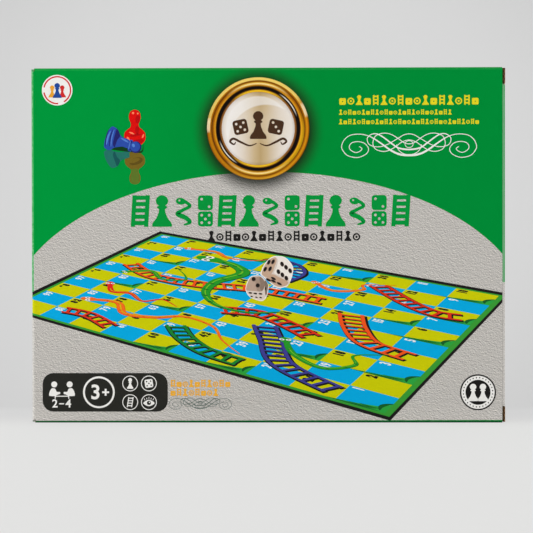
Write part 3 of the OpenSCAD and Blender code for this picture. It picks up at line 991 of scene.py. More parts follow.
def medallion_gold():
    """Turned gold rim. Its bands differ at the sides and at the ends, as a torus reflects a room."""
    art = bpy.context.scene.front_print

    def make(wires, place):
        x, _, z = wires.split(from_medallion(wires, place))
        radius = wires.math("SQRT", wires.plus(wires.times(x, x), wires.times(z, z)))
        share = wires.spread(radius, art.disc_r, art.medallion_r)
        angle = wires.math("ARCTAN2", z, x)

        def facing(degrees, turns, low, high=1.0):
            """1 where the rim points to an angle, turns times round the rim."""
            turned = wires.times(wires.minus(angle, math.radians(degrees)), float(turns))
            return wires.spread(wires.math("COSINE", turned), low, high, soft=True)

        sides = wires.ramp(share, [
            (0.0, 158, 108, 56), (0.09, 112, 66, 22), (0.14, 20, 13, 10), (0.34, 10, 8, 8),
            (0.37, 84, 46, 12), (0.43, 222, 156, 34), (0.52, 186, 114, 8), (0.62, 130, 72, 4),
            (0.67, 78, 40, 4), (0.73, 164, 98, 8), (0.84, 214, 144, 18), (0.94, 178, 108, 8),
            (1.0, 84, 48, 6),
        ])
        ends = wires.ramp(share, [
            (0.0, 214, 150, 20), (0.05, 246, 208, 44), (0.12, 206, 142, 18), (0.17, 62, 36, 12),
            (0.22, 12, 9, 8), (0.34, 12, 9, 8), (0.40, 98, 56, 10), (0.48, 214, 150, 26),
            (0.56, 252, 230, 160), (0.62, 234, 186, 66), (0.69, 150, 88, 8), (0.76, 112, 62, 6),
            (0.84, 206, 140, 22), (0.93, 232, 176, 50), (1.0, 108, 64, 8),
        ])
        gold = wires.mix(facing(90, 2, -0.1), sides, ends)
        rim = wires.above(share, 0.8)
        torus = wires.times(wires.above(share, 0.42), wires.math("LESS_THAN", share, 0.66))

        def lit(gold, zone, facing_it, strength, display):
            glow = wires.times(facing_it, strength)
            return wires.mix(wires.times(zone, glow), gold, srgb(*display))

        gold = lit(gold, rim, facing(104, 1, 0.2, 0.5), 0.75, (246, 220, 116))
        gold = lit(gold, rim, facing(225, 1, 0.1), 0.45, (150, 88, 8))
        gold = lit(gold, torus, facing(-28, 1, 0.6), 0.35, (252, 208, 30))
        for degrees in (176, 22):
            spot = wires.times(rim, facing(degrees, 1, 0.985, 0.998))
            gold = wires.mix(wires.times(spot, 0.65), gold, srgb(255, 240, 196))
        band = wires.spread(wires.absolute(wires.minus(share, 0.25)), 0.055, 0.01, soft=True)
        glints = wires.times(facing(38, 2, 0.72), band)
        gold = wires.mix(wires.times(glints, 0.9), gold, srgb(246, 240, 230))
        return gold, share

    return finish("medallion_gold", make, roughness=0.35, specular=0.04)


def medallion_pearl():
    """Pearl disc with a tan glow down its middle and a pale crescent of gloss."""
    art = bpy.context.scene.front_print

    def make(wires, place):
        centred = from_medallion(wires, place)
        x, _, z = wires.split(wires.vector("SCALE", centred, scale=1 / art.disc_r))
        across = wires.spread(wires.absolute(wires.minus(x, 0.06)), 0.0, 0.85)
        tan = wires.ramp(across, [
            (0.0, 188, 160, 112), (0.2, 202, 178, 138), (0.6, 226, 214, 200), (1.0, 238, 232, 228),
        ])
        off_middle = wires.absolute(wires.minus(z, 0.12))
        middle = wires.spread(off_middle, 0.05, 0.7, 0.4, 0.0, soft=True)
        colour = wires.mix(middle, tan, srgb(224, 211, 190))
        lower = wires.vector("LENGTH", wires.vector("SUBTRACT", centred, (5.0, 0.0, -9.0)))
        upper = wires.vector("LENGTH", centred)
        crescent = wires.times(wires.spread(lower, 23.6, 24.4), wires.spread(upper, 21.0, 20.0))
        colour = wires.mix(wires.times(crescent, 0.55), colour, srgb(244, 242, 240))
        grain = wires.group("paper_grain", place=place, scale=1.5, contrast=0.06)
        rim = wires.spread(upper, art.disc_r - 2.4, art.disc_r, 1.0, 0.8, soft=True)
        return wires.shade(wires.shade(colour, grain["Shade"]), rim), upper

    return finish("medallion_pearl", make, roughness=0.4, specular=0.08)


def print_medallion():
    art = bpy.context.scene.front_print
    x, z = art.medallion_x, art.medallion_z
    overlap, disc_level, rim_level, round_count = 0.2, 0.06, 0.1, 96
    layer = PrintedLayer("print_medallion")
    gold, pearl = medallion_gold(), medallion_pearl()
    layer.inks += [gold, pearl]
    rim = oval(x, z, art.medallion_r, count=round_count)
    layer.fill(gold, rim_level, rim, oval(x, z, art.disc_r - overlap, count=round_count))
    layer.fill(pearl, disc_level, oval(x, z, art.disc_r, count=round_count))
    layer.fill("brown", rim_level, pawn_outline(x, z - 6.6, 17.6))
    curl = [(1.0, -9.4), (5.5, -10.8), (11.0, -8.6), (15.6, -6.4), (17.8, -8.2), (15.4, -10.0), (14.2, -8.4)]
    for side, pips in ((-1, 5), (1, 3)):
        die_icon(layer, x + side * 11.2, z + 1.0, 9.2, "brown", rim_level, pips, -12 * side)
        path = smooth([(x + side * u, z + v) for u, v in curl], 6)
        layer.line("brown", rim_level, path, swelling(0.45, 1.0))
    layer.build()


def small_sign(layer, kind, x, z, height, ink_name):
    """One sign of a row: a pawn, a ring, a ladder or a die, by its kind from 0 to 3."""
    level, middle = PRINT_LEVEL, z + height * 0.4
    if kind == 0:
        layer.fill(ink_name, level, pawn_outline(x, z, height, 1.15))
    elif kind == 1:
        hole = oval(x, middle, height * 0.22, count=16)
        layer.fill(ink_name, level, oval(x, middle, height * 0.36, count=24), hole)
        layer.fill(ink_name, level, oval(x, middle, height * 0.11, count=12))
    elif kind == 2:
        ladder_icon(layer, x, z, height * 0.42, height, 0, ink_name, level, 3, height * 0.15)
    else:
        die_icon(layer, x, z + height * 0.36, height * 0.68, ink_name, level, 1)


def row_of_signs(layer, low_x, high_x, z, height, ink_name, first=0):
    """Row of small signs from low_x to high_x, standing at z."""
    kinds = (0, 1, 2, 3, 1, 0, 3, 2)
    count = round((high_x - low_x) / (height * 0.84))
    for i in range(count):
        x = low_x + (high_x - low_x) * (i + 0.5) / count
        small_sign(layer, kinds[(i + first) % len(kinds)], x, z, height, ink_name)


def print_ornaments():
    art = PrintedLayer("print_ornaments")
    level = PRINT_LEVEL
    # Frieze of the game's own things, over a row of small signs
    frieze_low, frieze_high, left, right, cells = 124.4, 144.4, -87.8, 91.0, 13
    pitch = (right - left) / cells
    height = frieze_high - frieze_low
    for i in range(cells):
        x = left + pitch * (i + 0.5)
        kind = ("ladder", "pawn", "snake", "die")[i % 4]
        if kind == "ladder":
            ladder_icon(art, x - 0.6, frieze_low, 8.4, height, 1.2, "green", level, 5, 2.7)
        elif kind == "pawn":
            art.fill("green", level, pawn_outline(x, frieze_low, height, 1.06))
        elif kind == "snake":
            snake_icon(art, x, frieze_low + 1.2, 9.4, height - 3.4, "green", level, "silver")
        else:
            for z, pips in ((frieze_low + 4.9, 5), (frieze_high - 4.9, 2)):
                die_icon(art, x, z, 9.5, "green", level, pips)
    row_of_signs(art, -38.6, 58.7, 115.2, 6.6, "black")
    # Rows on the green field
    row_of_signs(art, 44.7, 133.7, 201.2, 6.2, "yellow", 3)
    row_of_signs(art, 44.7, 116.5, 195.0, 3.4, "yellow")
    row_of_signs(art, 44.7, 133.7, 189.0, 3.4, "yellow", 5)
    flourish(art, 89.3, 175.5, 0.985, "white", level, 0.48, 1.3)
    # Rows and flourish beside the dark panel
    row_of_signs(art, -62.4, -23.8, 22.6, 4.8, "orange", 2)
    row_of_signs(art, -62.4, -31.4, 17.0, 4.8, "orange", 6)
    flourish(art, -43.2, 12.0, 0.46, "slate", level, 0.24, 0.5)
    art.build()


def print_badges():
    """Round badge at the upper left and round seal at the lower right, with plain game motifs."""
    layer = PrintedLayer("print_badges")
    under, top, round_count = 0.03, 0.05, 64
    x, z, arc_r = -133.5, 211.1, 8.5
    layer.fill("white", under, oval(x, z, 9.7, count=round_count))
    for low, high in ((-60, 170), (190, 280)):
        angles = [math.radians(a) for a in range(low, high, 6)]
        arc = [(x + arc_r * math.cos(a), z + arc_r * math.sin(a)) for a in angles]
        layer.line("emblem_red", top, arc, 0.9)
    layer.fill("emblem_amber", top, pawn_outline(x - 3.2, z - 4.6, 7.6))
    layer.fill("emblem_red", top + 0.01, pawn_outline(x + 3.2, z - 4.6, 7.6))
    layer.fill("emblem_blue", top + 0.02, pawn_outline(x, z - 4.9, 9.4))
    x, z, dots, dots_r = 132.8, 19.3, 28, 9.3
    layer.fill("white", under, oval(x, z, 11.2, count=round_count))
    layer.fill("black", top, oval(x, z, 11.4, count=round_count), oval(x, z, 10.5, count=round_count))
    layer.fill("black", top, oval(x, z, 7.9, count=round_count))
    for i in range(dots):
        a = 2 * math.pi * (i + 0.5) / dots
        layer.fill("black", top, diamond(x + dots_r * math.cos(a), z + dots_r * math.sin(a), 0.9, 1.1))
    for side in (-1, 1):
        layer.fill("white", top + 0.03, pawn_outline(x + side * 3.1, z - 5.6, 11.0))
    layer.build()


# Back and arm of a seated player about the head's place, on the right of the table
PLAYER_BACK = [
    (0.6, 22.0), (1.9, 21.6), (3.0, 19.6), (3.3, 17.4), (2.2, 17.0), (-0.4, 17.0), (-2.6, 18.0), (-3.7, 18.4),
    (-3.6, 19.6), (-1.6, 19.7), (-0.8, 21.4),
]


def print_info_panel(digits):
    """Dark panel with the number of players, the least age and four small signs."""
    layer = PrintedLayer("print_info_panel")
    low_x, high_x, low_z, high_z = -143.4, -63.8, 7.1, 31.6
    width, height = high_x - low_x, high_z - low_z
    top = 0.06
    panel = rounded((low_x + high_x) / 2, (low_z + high_z) / 2, width, height, 6.8)
    layer.fill("panel_black", 0.03, panel)

    def bar(x, z, x_to, z_to, thick, lift=0.0):
        layer.line("white", top + lift, [(x, z), (x_to, z_to)], thick)

    # Two players at a table
    table_x, table_z = -131.1, 16.9
    for side in (-1, 1):
        head_x, leg_x = table_x + side * 4.9, table_x + side * 4.3
        layer.fill("white", top, oval(head_x, 24.4, 1.9))
        back = smooth([(head_x + side * u, v) for u, v in PLAYER_BACK], 3, closed=True)
        layer.fill("white", top, back)
        bar(leg_x, table_z, leg_x, table_z - 1.6, 0.6)
    bar(table_x - 4.6, table_z, table_x + 4.6, table_z, 0.6, 0.01)
    print_number(layer, digits, "2", -137.3, 9.7, 5.3, "white", top)
    print_number(layer, digits, "4", -128.9, 9.7, 5.3, "white", top)
    bar(-132.9, 12.1, -129.8, 12.1, 0.75)
    # Least age in a ring, with a plus sign after it
    ring_x, ring_z = -107.6, 19.4
    layer.fill("white", top, oval(ring_x, ring_z, 10.1, count=64), oval(ring_x, ring_z, 8.9, count=64))
    print_number(layer, digits, "3", -112.4, 14.8, 9.6, "white", top)
    bar(-105.5, 19.4, -101.1, 19.4, 1.2)
    bar(-103.3, 17.2, -103.3, 21.6, 1.2, 0.01)
    # Four small signs: a pawn, a die, a ladder and an eye
    left, right, upper, lower, r = -87.7, -75.8, 25.0, 13.1, 5.0
    for x in (left, right):
        for z in (upper, lower):
            layer.fill("white", top, oval(x, z, r, count=40), oval(x, z, r - 0.5, count=40))
    layer.fill("white", top, pawn_outline(left, upper - 3.4, 6.8))
    die_icon(layer, right, upper, 5.2, "white", top, 5, 8)
    ladder_icon(layer, left - 0.5, lower - 3.2, 2.8, 6.4, 1.0, "white", top, 4, 0.6)
    eye = [(right - 3.6, lower - 0.6), (right, lower + 1.5), (right + 3.6, lower - 0.6), (right, lower - 2.6)]
    layer.fill("white", top, smooth(eye, 6, closed=True))
    layer.fill("panel_black", top + 0.02, oval(right, lower - 0.5, 1.3))
    layer.fill("white", top + 0.03, oval(right + 0.35, lower - 0.1, 0.4, count=12))
    for i in range(-2, 3):
        foot = Vector((right + i * 1.25, lower + 2.2 - abs(i) * 0.5))
        layer.line("white", top, [foot, foot + Vector((i * 0.25, 1.1))], 0.4)
    layer.build()


# Corners of the squares' field on the front: the near one, then on along a row and round the field
NEAR_CORNER, RIGHT_CORNER = (73.9, 6.2), (145.9, 80.3)
FAR_CORNER, LEFT_CORNER = (-67.1, 119.2), (-162.8, 73.5)
# Whole border and its black edge, on the flat board: before and after a row, then before and after the rows
BORDERS = ((11.2, 6.4), (13.6, 9.4), (6.7, 2.4), (9.8, 6.2))
# The picture's left end goes round the fold in narrow strips that bend with it
CUT_X = FOLD_X + FOLD_LIP
FOLD_STRIPS = [CUT_X] + [FOLD_X - beyond for beyond in (0.0, 0.35, 0.7, 1.05, 1.4, 1.8, 2.2)]


def perspective(side):
    """Rule that takes a place on the flat board, from the field's near corner, to the front's picture."""
    p0, p1, p2, p3 = (Vector(p) for p in (NEAR_CORNER, RIGHT_CORNER, FAR_CORNER, LEFT_CORNER))
    d1, d2, s = p1 - p2, p3 - p2, p0 - p1 + p2 - p3
    det = d1.x * d2.y - d2.x * d1.y
    g = (s.x * d2.y - d2.x * s.y) / det
    h = (d1.x * s.y - s.x * d1.y) / det

    def rule(point):
        u, v = point[0] / side, point[1] / side
        w = g * u + h * v + 1
        x = (p1.x * (1 + g) - p0.x) * u + (p3.x * (1 + h) - p0.x) * v + p0.x
        z = (p1.y * (1 + g) - p0.y) * u + (p3.y * (1 + h) - p0.y) * v + p0.y
        return Vector((x / w, z / w, 0))

    return rule


# Courses over the board, in squares from the near corner: along a row, then across the rows.
# A snake starts at its head.
SNAKES = [
    (
        "snake_green", 15.0,
        [(8.3, 7.5), (8.2, 6.7), (7.5, 6.1), (6.2, 6.4), (5.0, 6.2), (4.2, 5.5), (4.2, 4.6), (4.9, 3.9)],
    ),
    ("snake_green", 6.0, [(5.3, 9.0), (5.9, 8.4), (5.4, 7.8), (5.7, 7.2), (6.2, 7.4), (6.7, 7.9)]),
    ("snake_orange", 6.5, [(9.0, 8.5), (9.2, 7.7), (8.8, 7.1), (9.0, 6.4), (9.5, 6.0)]),
    (
        "snake_orange", 8.5,
        [(2.2, 8.6), (2.5, 7.8), (1.8, 7.2), (2.1, 6.4), (2.7, 5.8), (2.5, 4.9), (1.7, 4.3), (1.1, 3.6)],
    ),
    ("snake_red", 7.0, [(3.9, 8.8), (3.3, 8.4), (3.5, 7.9), (3.1, 7.3), (3.6, 6.9), (3.3, 6.3)]),
    ("snake_green", 7.0, [(2.8, 3.1), (2.0, 2.6), (1.6, 1.8), (2.3, 1.3), (2.9, 1.5), (3.5, 0.9)]),
    ("snake_orange", 6.0, [(8.0, 4.1), (7.6, 3.5), (8.2, 2.9), (8.7, 3.0), (9.2, 2.3)]),
]
LADDERS = [
    ("ladder_orange", 17.0, [(6.2, 9.3), (5.5, 8.2), (5.6, 6.8), (6.3, 5.2), (6.5, 3.4)]),
    ("ladder_red", 15.0, [(0.9, 8.7), (1.0, 7.9), (0.6, 7.0)]),
    ("ladder_blue", 17.0, [(9.5, 6.0), (9.3, 5.3), (8.6, 4.9), (7.6, 5.0)]),
    ("ladder_green", 17.0, [(1.9, 5.7), (1.2, 5.1), (0.7, 4.3), (0.6, 3.4)]),
    ("ladder_blue", 19.0, [(3.5, 3.9), (2.6, 3.4), (1.2, 2.6), (0.5, 1.2)]),
    ("ladder_red", 16.0, [(8.9, 2.7), (7.9, 1.7), (7.4, 0.9), (7.5, 0.3)]),
    ("ladder_orange", 19.0, [(5.9, 2.5), (4.9, 2.1), (4.0, 1.5), (3.7, 0.5)]),
    ("ladder_red", 17.0, [(3.9, 5.3), (4.3, 4.4), (4.0, 3.5), (3.5, 2.7)]),
]
# Grass: where a tuft's thick end stands and how long it is, in squares
TUFTS = [
    (9.0, 0.0, 1.3), (7.0, 0.0, 1.0), (5.0, 0.0, 1.4), (2.0, 0.0, 1.4), (0.0, 0.0, 1.2), (9.0, 3.0, 1.3),
    (9.0, 6.0, 1.1), (6.0, 4.0, 1.2), (3.0, 6.0, 1.2), (8.0, 5.0, 1.0), (0.0, 3.0, 1.1), (4.0, 8.0, 1.2),
    (0.0, 5.0, 1.0), (2.0, 2.0, 1.1), (7.0, 8.0, 1.0), (6.0, 1.0, 1.0), (4.0, 3.0, 1.0),
]
# A tuft's wedge, as shares of a square across it and of its length along it
WEDGE = [
    (-0.03, 0.0), (0.62, 0.0), (0.5, 0.03), (0.36, 0.09), (0.26, 0.18), (0.2, 0.3), (0.13, 0.46),
    (0.08, 0.66), (0.0, 1.0), (-0.03, 0.5),
]
# Levels of the board's picture, from its black edge up to the snakes
EDGE_LEVEL, BORDER_LEVEL, BLUE_LEVEL, YELLOW_LEVEL, NUMBER_LEVEL = 0.02, 0.03, 0.035, 0.04, 0.05
TUFT_LEVEL, LADDER_LEVEL, SNAKE_LEVEL = 0.055, 0.066, 0.09


def to_board(points):
    """Places in squares to millimetres on the flat board."""
    side = bpy.context.scene.board_picture.square
    return [Vector((u * side, v * side)) for u, v in points]


def print_snake(layer, ink_name, width, course, warp, level):
    body = smooth(to_board(course), 12)

    def girth(s):
        """Full from behind the neck to a third of the length, then thinner down to the tail."""
        taper = 1 - 0.92 * max(0.0, (s - 0.35) / 0.65) ** 0.8
        return width * (0.5 + 0.5 * math.sin(math.pi * min(0.5, s * 2.2 + 0.05))) * taper

    dark = "deep_green" if ink_name == "snake_green" else "ladder_red"
    light = "lime" if ink_name == "snake_green" else "square_yellow"
    # Shade, body, shine, spots, head and eyes, each a little above the last
    shade = [p + Vector((-0.09, -0.05)) * width for p in body]
    layer.line(dark, level, shade, girth, warp, rise=0.008)
    layer.line(ink_name, level + 0.009, body, lambda s: girth(s) * 0.9, warp, rise=0.008)
    shine = [p + Vector((0.12, 0.08)) * width for p in body[8:-18]]
    layer.line(light, level + 0.019, shine, lambda s: width * 0.14 * (1 - 0.7 * s), warp)
    for i in range(8, len(body) - 20, 6):
        spot = oval(body[i].x - width * 0.12, body[i].y, width * 0.11, width * 0.2, count=8)
        layer.fill(dark, level + 0.021, spot, warp=warp)
    head, neck = body[0], body[4]
    turn = math.degrees(math.atan2(head.y - neck.y, head.x - neck.x))
    layer.fill(ink_name, level + 0.022, oval(head.x, head.y, width * 1.05, width * 0.7, turn, 24), warp=warp)
    for side in (-1, 1):
        place = moved([(width * 0.15, side * width * 0.4)], head.x, head.y, turn=turn)[0]
        layer.fill("white", level + 0.026, oval(place.x, place.y, width * 0.32, count=16), warp=warp)
        layer.fill("black", level + 0.03, oval(place.x, place.y, width * 0.14, count=12), warp=warp)


def evenly(path, spacing):
    """Points along a path at equal steps, each with the path's direction there."""
    out, left = [], spacing / 2
    for a, b in zip(path, path[1:]):
        length = (b - a).length
        while left < length:
            out.append((a.lerp(b, left / length), (b - a).normalized()))
            left += spacing
        left -= length
    return out


def print_ladder(layer, ink_name, width, course, warp, level):
    middle = smooth(to_board(course), 10)
    count = len(middle)
    rails = {-1: [], 1: []}
    for i, p in enumerate(middle):
        along = (middle[min(i + 1, count - 1)] - middle[max(i - 1, 0)]).normalized()
        for side in rails:
            rails[side].append(p + Vector((-along.y, along.x)) * side * width / 2)
    shade, rung_pitch = Vector((-2.3, -1.9)), 10.0
    for side in rails:
        layer.line("black", level, [p + shade for p in rails[side]], 5.8, warp)
        layer.line(ink_name, level + 0.012, rails[side], 3.4, warp)
    for p, along in evenly(middle, rung_pitch):
        half = Vector((-along.y, along.x)) * width / 2
        layer.line("black", level + 0.004, [p - half + shade, p + half + shade], 3.2, warp)
        layer.line(ink_name, level + 0.016, [p - half, p + half], 3.0, warp)


def print_tuft(layer, u, v, length, warp, level):
    """Grass along a line of the squares: a wedge, long dark strokes in it and a curve at its thick end."""

    def placed(shares):
        return to_board([(u + across, v + along * length) for across, along in shares])

    layer.fill("leaf_green", level, placed(WEDGE), warp=warp)
    for across, low, high in ((0.01, 0.1, 0.98), (0.08, 0.16, 0.66), (0.15, 0.12, 0.46)):
        stroke = smooth(placed([(across, low), (across * 0.8, (low + high) / 2), (across, high)]), 5)
        layer.line("deep_green", level + 0.004, stroke, swelling(0.3, 1.5), warp)
    thick_end = smooth(placed([(0.6, 0.0), (0.45, 0.09), (0.26, 0.13), (0.06, 0.1)]), 5)
    layer.line("deep_green", level + 0.007, thick_end, swelling(0.5, 3.0), warp)


def print_board_picture(digits, bold_digits):
    book = bpy.context.scene.board_picture
    layer = PrintedLayer("print_board_picture")
    side = book.squares * book.square
    warp = perspective(side)
    folded = PrintedLayer("print_board_picture_on_fold", on_left_fold)
    right_end = FRONT_BOX[1].x / MM

    def area(ink_name, level, low_u, low_v, high_u, high_v):
        corners = [warp(p) for p in ((low_u, low_v), (high_u, low_v), (high_u, high_v), (low_u, high_v))]
        corners = cut_at(corners, right_end, -1)
        layer.fill(ink_name, level, cut_at(corners, CUT_X, 1))
        for right, left in zip(FOLD_STRIPS, FOLD_STRIPS[1:]):
            folded.fill(ink_name, level, cut_at(cut_at(corners, right, -1), left, 1))

    (a, a_in), (b, b_in), (c, c_in), (d, d_in) = BORDERS
    area("black", EDGE_LEVEL, -a, -c, side + b, side + d)
    area("border_green", BORDER_LEVEL, a_in - a, c_in - c, side + b - b_in, side + d - d_in)
    area("square_blue", BLUE_LEVEL, 0.0, 0.0, side, side)
    for row in range(book.squares):
        for column in range(book.squares):
            low_u, low_v = column * book.square, row * book.square
            yellow = (row + column) % 2 == 1
            if yellow:
                area("square_yellow", YELLOW_LEVEL, low_u, low_v, low_u + book.square, low_v + book.square)
            along = column if row % 2 == 0 else book.squares - 1 - column
            text = str(row * book.squares + along + 1)
            shapes, ink_name = (bold_digits, "black") if yellow else (digits, "white")
            u = low_u + book.square * 0.95 - number_width(shapes, text, book.number_h, book.number_w)
            v = low_v + book.square * 0.93 - book.number_h
            if warp((u, v + book.number_h)).x > CUT_X:
                print_number(
                    layer, shapes, text, u, v, book.number_h, ink_name, NUMBER_LEVEL, warp, book.number_w
                )
    for tuft in TUFTS:
        print_tuft(layer, *tuft, warp, TUFT_LEVEL)
    for ladder in LADDERS:
        print_ladder(layer, *ladder, warp, LADDER_LEVEL)
    for snake in SNAKES:
        print_snake(layer, *snake, warp, SNAKE_LEVEL)
    layer.build()
    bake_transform(folded.build(ride=False))


# Printed dice, about the middle of each: outline, faces with their inks from the lowest one up, and pips.
# A group of pips has its half axes, its turn and its places.
SMALL_DIE = {
    "place": (-7.1, 85.4),
    "level": 0.14,
    "outline": [
        (0.6, 8.1), (-3.7, 7.5), (-6.0, 4.4), (-7.2, 0.1), (-6.5, -3.0), (-4.5, -5.5), (-1.1, -7.2),
        (2.8, -8.2), (5.1, -7.0), (6.5, -4.4), (7.4, -0.4), (7.2, 2.4), (5.1, 5.5), (2.8, 7.5),
    ],
    "body": "die_mid",
    "faces": [
        ("die_top", [
            (0.3, 7.5), (-3.4, 7.0), (-5.5, 4.1), (-6.7, 0.1), (-6.4, -1.4), (-1.7, -1.8), (2.8, -2.1),
            (4.5, -0.1), (5.1, 3.8), (2.8, 7.0),
        ]),
        ("die_dim", [
            (0.3, 7.3), (2.8, 6.9), (5.0, 3.8), (4.4, -0.1), (2.8, -1.9), (0.4, -1.7), (-0.6, 1.6),
            (-0.9, 5.0),
        ]),
        ("die_dark", [
            (1.8, 7.1), (2.8, 6.8), (5.0, 3.8), (4.4, -0.1), (2.8, -1.8), (2.0, 0.2), (2.2, 3.0), (1.6, 5.2),
        ]),
        ("die_far", [
            (5.1, 5.0), (7.0, 2.4), (6.8, -0.4), (6.2, -4.1), (5.4, -4.1), (5.1, -2.1), (5.0, 1.0),
        ]),
    ],
    "pips": [
        (1.3, 1.3, 0, [(-2.0, 5.7), (0.6, 1.7)]),
        (1.15, 0.5, -8, [(-4.1, -3.0), (-1.0, -3.4), (2.3, -3.6)]),
        (0.8, 0.4, -16, [(-3.3, -5.3), (-0.3, -5.8), (2.4, -6.0)]),
        (0.45, 1.1, -6, [(5.5, -0.4)]),
    ],
}
BIG_DIE = {
    "place": (5.8, 95.6),
    "level": 0.2,
    "outline": [
        (0.0, 10.2), (4.1, 9.7), (7.5, 7.2), (10.1, 3.0), (9.9, -0.7), (8.8, -4.7), (6.7, -8.7), (3.8, -9.8),
        (1.3, -10.1), (-1.3, -9.4), (-5.0, -6.4), (-8.4, -3.6), (-10.7, -1.3), (-9.8, 1.6), (-8.4, 4.7),
        (-5.5, 8.1), (-2.7, 9.8),
    ],
    "body": "die_light",
    "faces": [
        ("die_mid", [
            (-1.4, 9.4), (0.5, 7.6), (-0.2, 3.8), (-1.9, -0.5), (1.6, -2.2), (7.5, -5.2), (6.9, -8.2),
            (0.0, -9.0), (-8.0, -3.4), (-9.6, 0.0), (-6.0, 7.0),
        ]),
        ("die_side", [
            (-1.0, 9.2), (-0.4, 7.0), (-1.6, 3.6), (-3.3, -0.7), (-6.4, -3.3), (-8.9, -2.1), (-9.9, -1.0),
            (-9.2, 1.3), (-7.8, 4.4), (-5.1, 7.7), (-2.7, 9.1),
        ]),
        ("die_low", [
            (-3.3, -1.3), (1.3, -3.3), (6.7, -6.1), (6.1, -8.1), (3.6, -9.2), (1.3, -9.4), (-1.0, -8.7),
            (-4.4, -6.1), (-6.7, -3.6),
        ]),
    ],
    "pips": [
        (1.05, 1.5, 22, [(3.1, 5.0), (5.6, 3.0), (8.2, 0.8), (0.8, 0.2), (3.3, -1.8), (5.8, -3.9)]),
        (0.92, 1.6, -28, [(-5.3, 6.2), (-2.6, 6.5), (-7.6, 1.8), (-4.5, 2.0)]),
        (1.7, 0.7, -28, [(-2.4, -4.1), (-5.5, -5.0), (-2.4, -5.8), (1.3, -7.4)]),
    ],
}


def print_dice():
    layer = PrintedLayer("print_dice")
    for die in (SMALL_DIE, BIG_DIE):
        (x, z), level = die["place"], die["level"]
        outline = smooth(die["outline"], 4, closed=True)
        layer.fill("die_edge", level, moved(outline, x, z))
        layer.fill(die["body"], level + 0.01, moved(outline, x, z, 0.95))
        for step, (ink_name, face) in enumerate(die["faces"]):
            layer.fill(ink_name, level + 0.02 + 0.002 * step, moved(smooth(face, 4, closed=True), x, z))
        for rx, rz, turn, places in die["pips"]:
            for u, v in places:
                layer.fill("pip_soft", level + 0.03, oval(x + u, z + v, rx * 1.12, rz * 1.12, turn, 20))
                hole = oval(x + u - 0.1, z + v + 0.1, rx * 0.92, rz * 0.92, turn, 20)
                layer.fill("pip", level + 0.036, hole)
    layer.build()


# Right half of the standing pawn from its foot up, and parts of the lying one, about a place on the mirror
MIRROR_AT = (-84.3, 172.9)
STANDING_HALF = [
    (2.1, 2.1), (4.6, 3.9), (6.4, 6.1), (6.8, 8.6), (6.4, 11.1), (4.6, 13.2), (2.9, 14.6), (2.5, 16.9),
    (3.5, 19.3), (3.7, 22.1), (2.9, 24.3), (1.6, 25.3), (0.0, 25.7),
]
# Soft dark and light spots on it: middle, half axes and turn
STANDING_DARKS = [
    (1.2, 5.2, 4.6, 1.6, 16), (1.5, 12.8, 1.3, 2.6, 0), (1.9, 19.6, 1.5, 2.6, 0), (0.6, 9.6, 3.9, 0.8, 8),
]
STANDING_LIGHTS = [
    (-1.1, 23.6, 0.8, 0.8, 0), (1.9, 23.3, 0.6, 0.6, 0), (-2.0, 10.9, 1.8, 0.5, -22),
    (5.2, 9.0, 0.5, 1.4, -24), (-4.2, 7.4, 0.6, 1.4, 36),
]
LYING_FOOT = [
    (-14.6, 15.0), (-11.2, 13.7), (-9.8, 10.7), (-7.8, 8.4), (-5.0, 7.3), (-3.4, 6.1), (-4.1, 1.4),
    (-7.8, 2.3), (-12.8, 1.8), (-15.9, 0.2), (-19.1, 1.4), (-19.6, 3.6), (-18.7, 7.8), (-16.9, 12.1),
]
LYING_RIM = [
    (-14.6, 15.0), (-12.8, 14.3), (-14.4, 9.3), (-15.9, 4.3), (-16.1, 0.2), (-19.1, 1.4), (-19.6, 3.6),
    (-18.7, 7.8), (-16.9, 12.1),
]
LYING_SHADE = [(-11.2, 13.7), (-12.8, 9.3), (-13.9, 4.3), (-12.8, 2.0), (-11.2, 6.4), (-9.3, 9.3)]
LYING_COLLAR = [(-3.2, 6.4), (-1.2, 6.1), (-1.8, 2.9), (-2.5, -0.7), (-4.5, 0.2), (-4.1, 3.2)]
CONTACT_SHADOW = [
    (-15.5, 0.9), (-10, 2.8), (-4, 2.2), (3.9, -0.6), (5.4, 4.0), (4.6, -1.4), (-2, -1.2), (-10, -0.2),
]


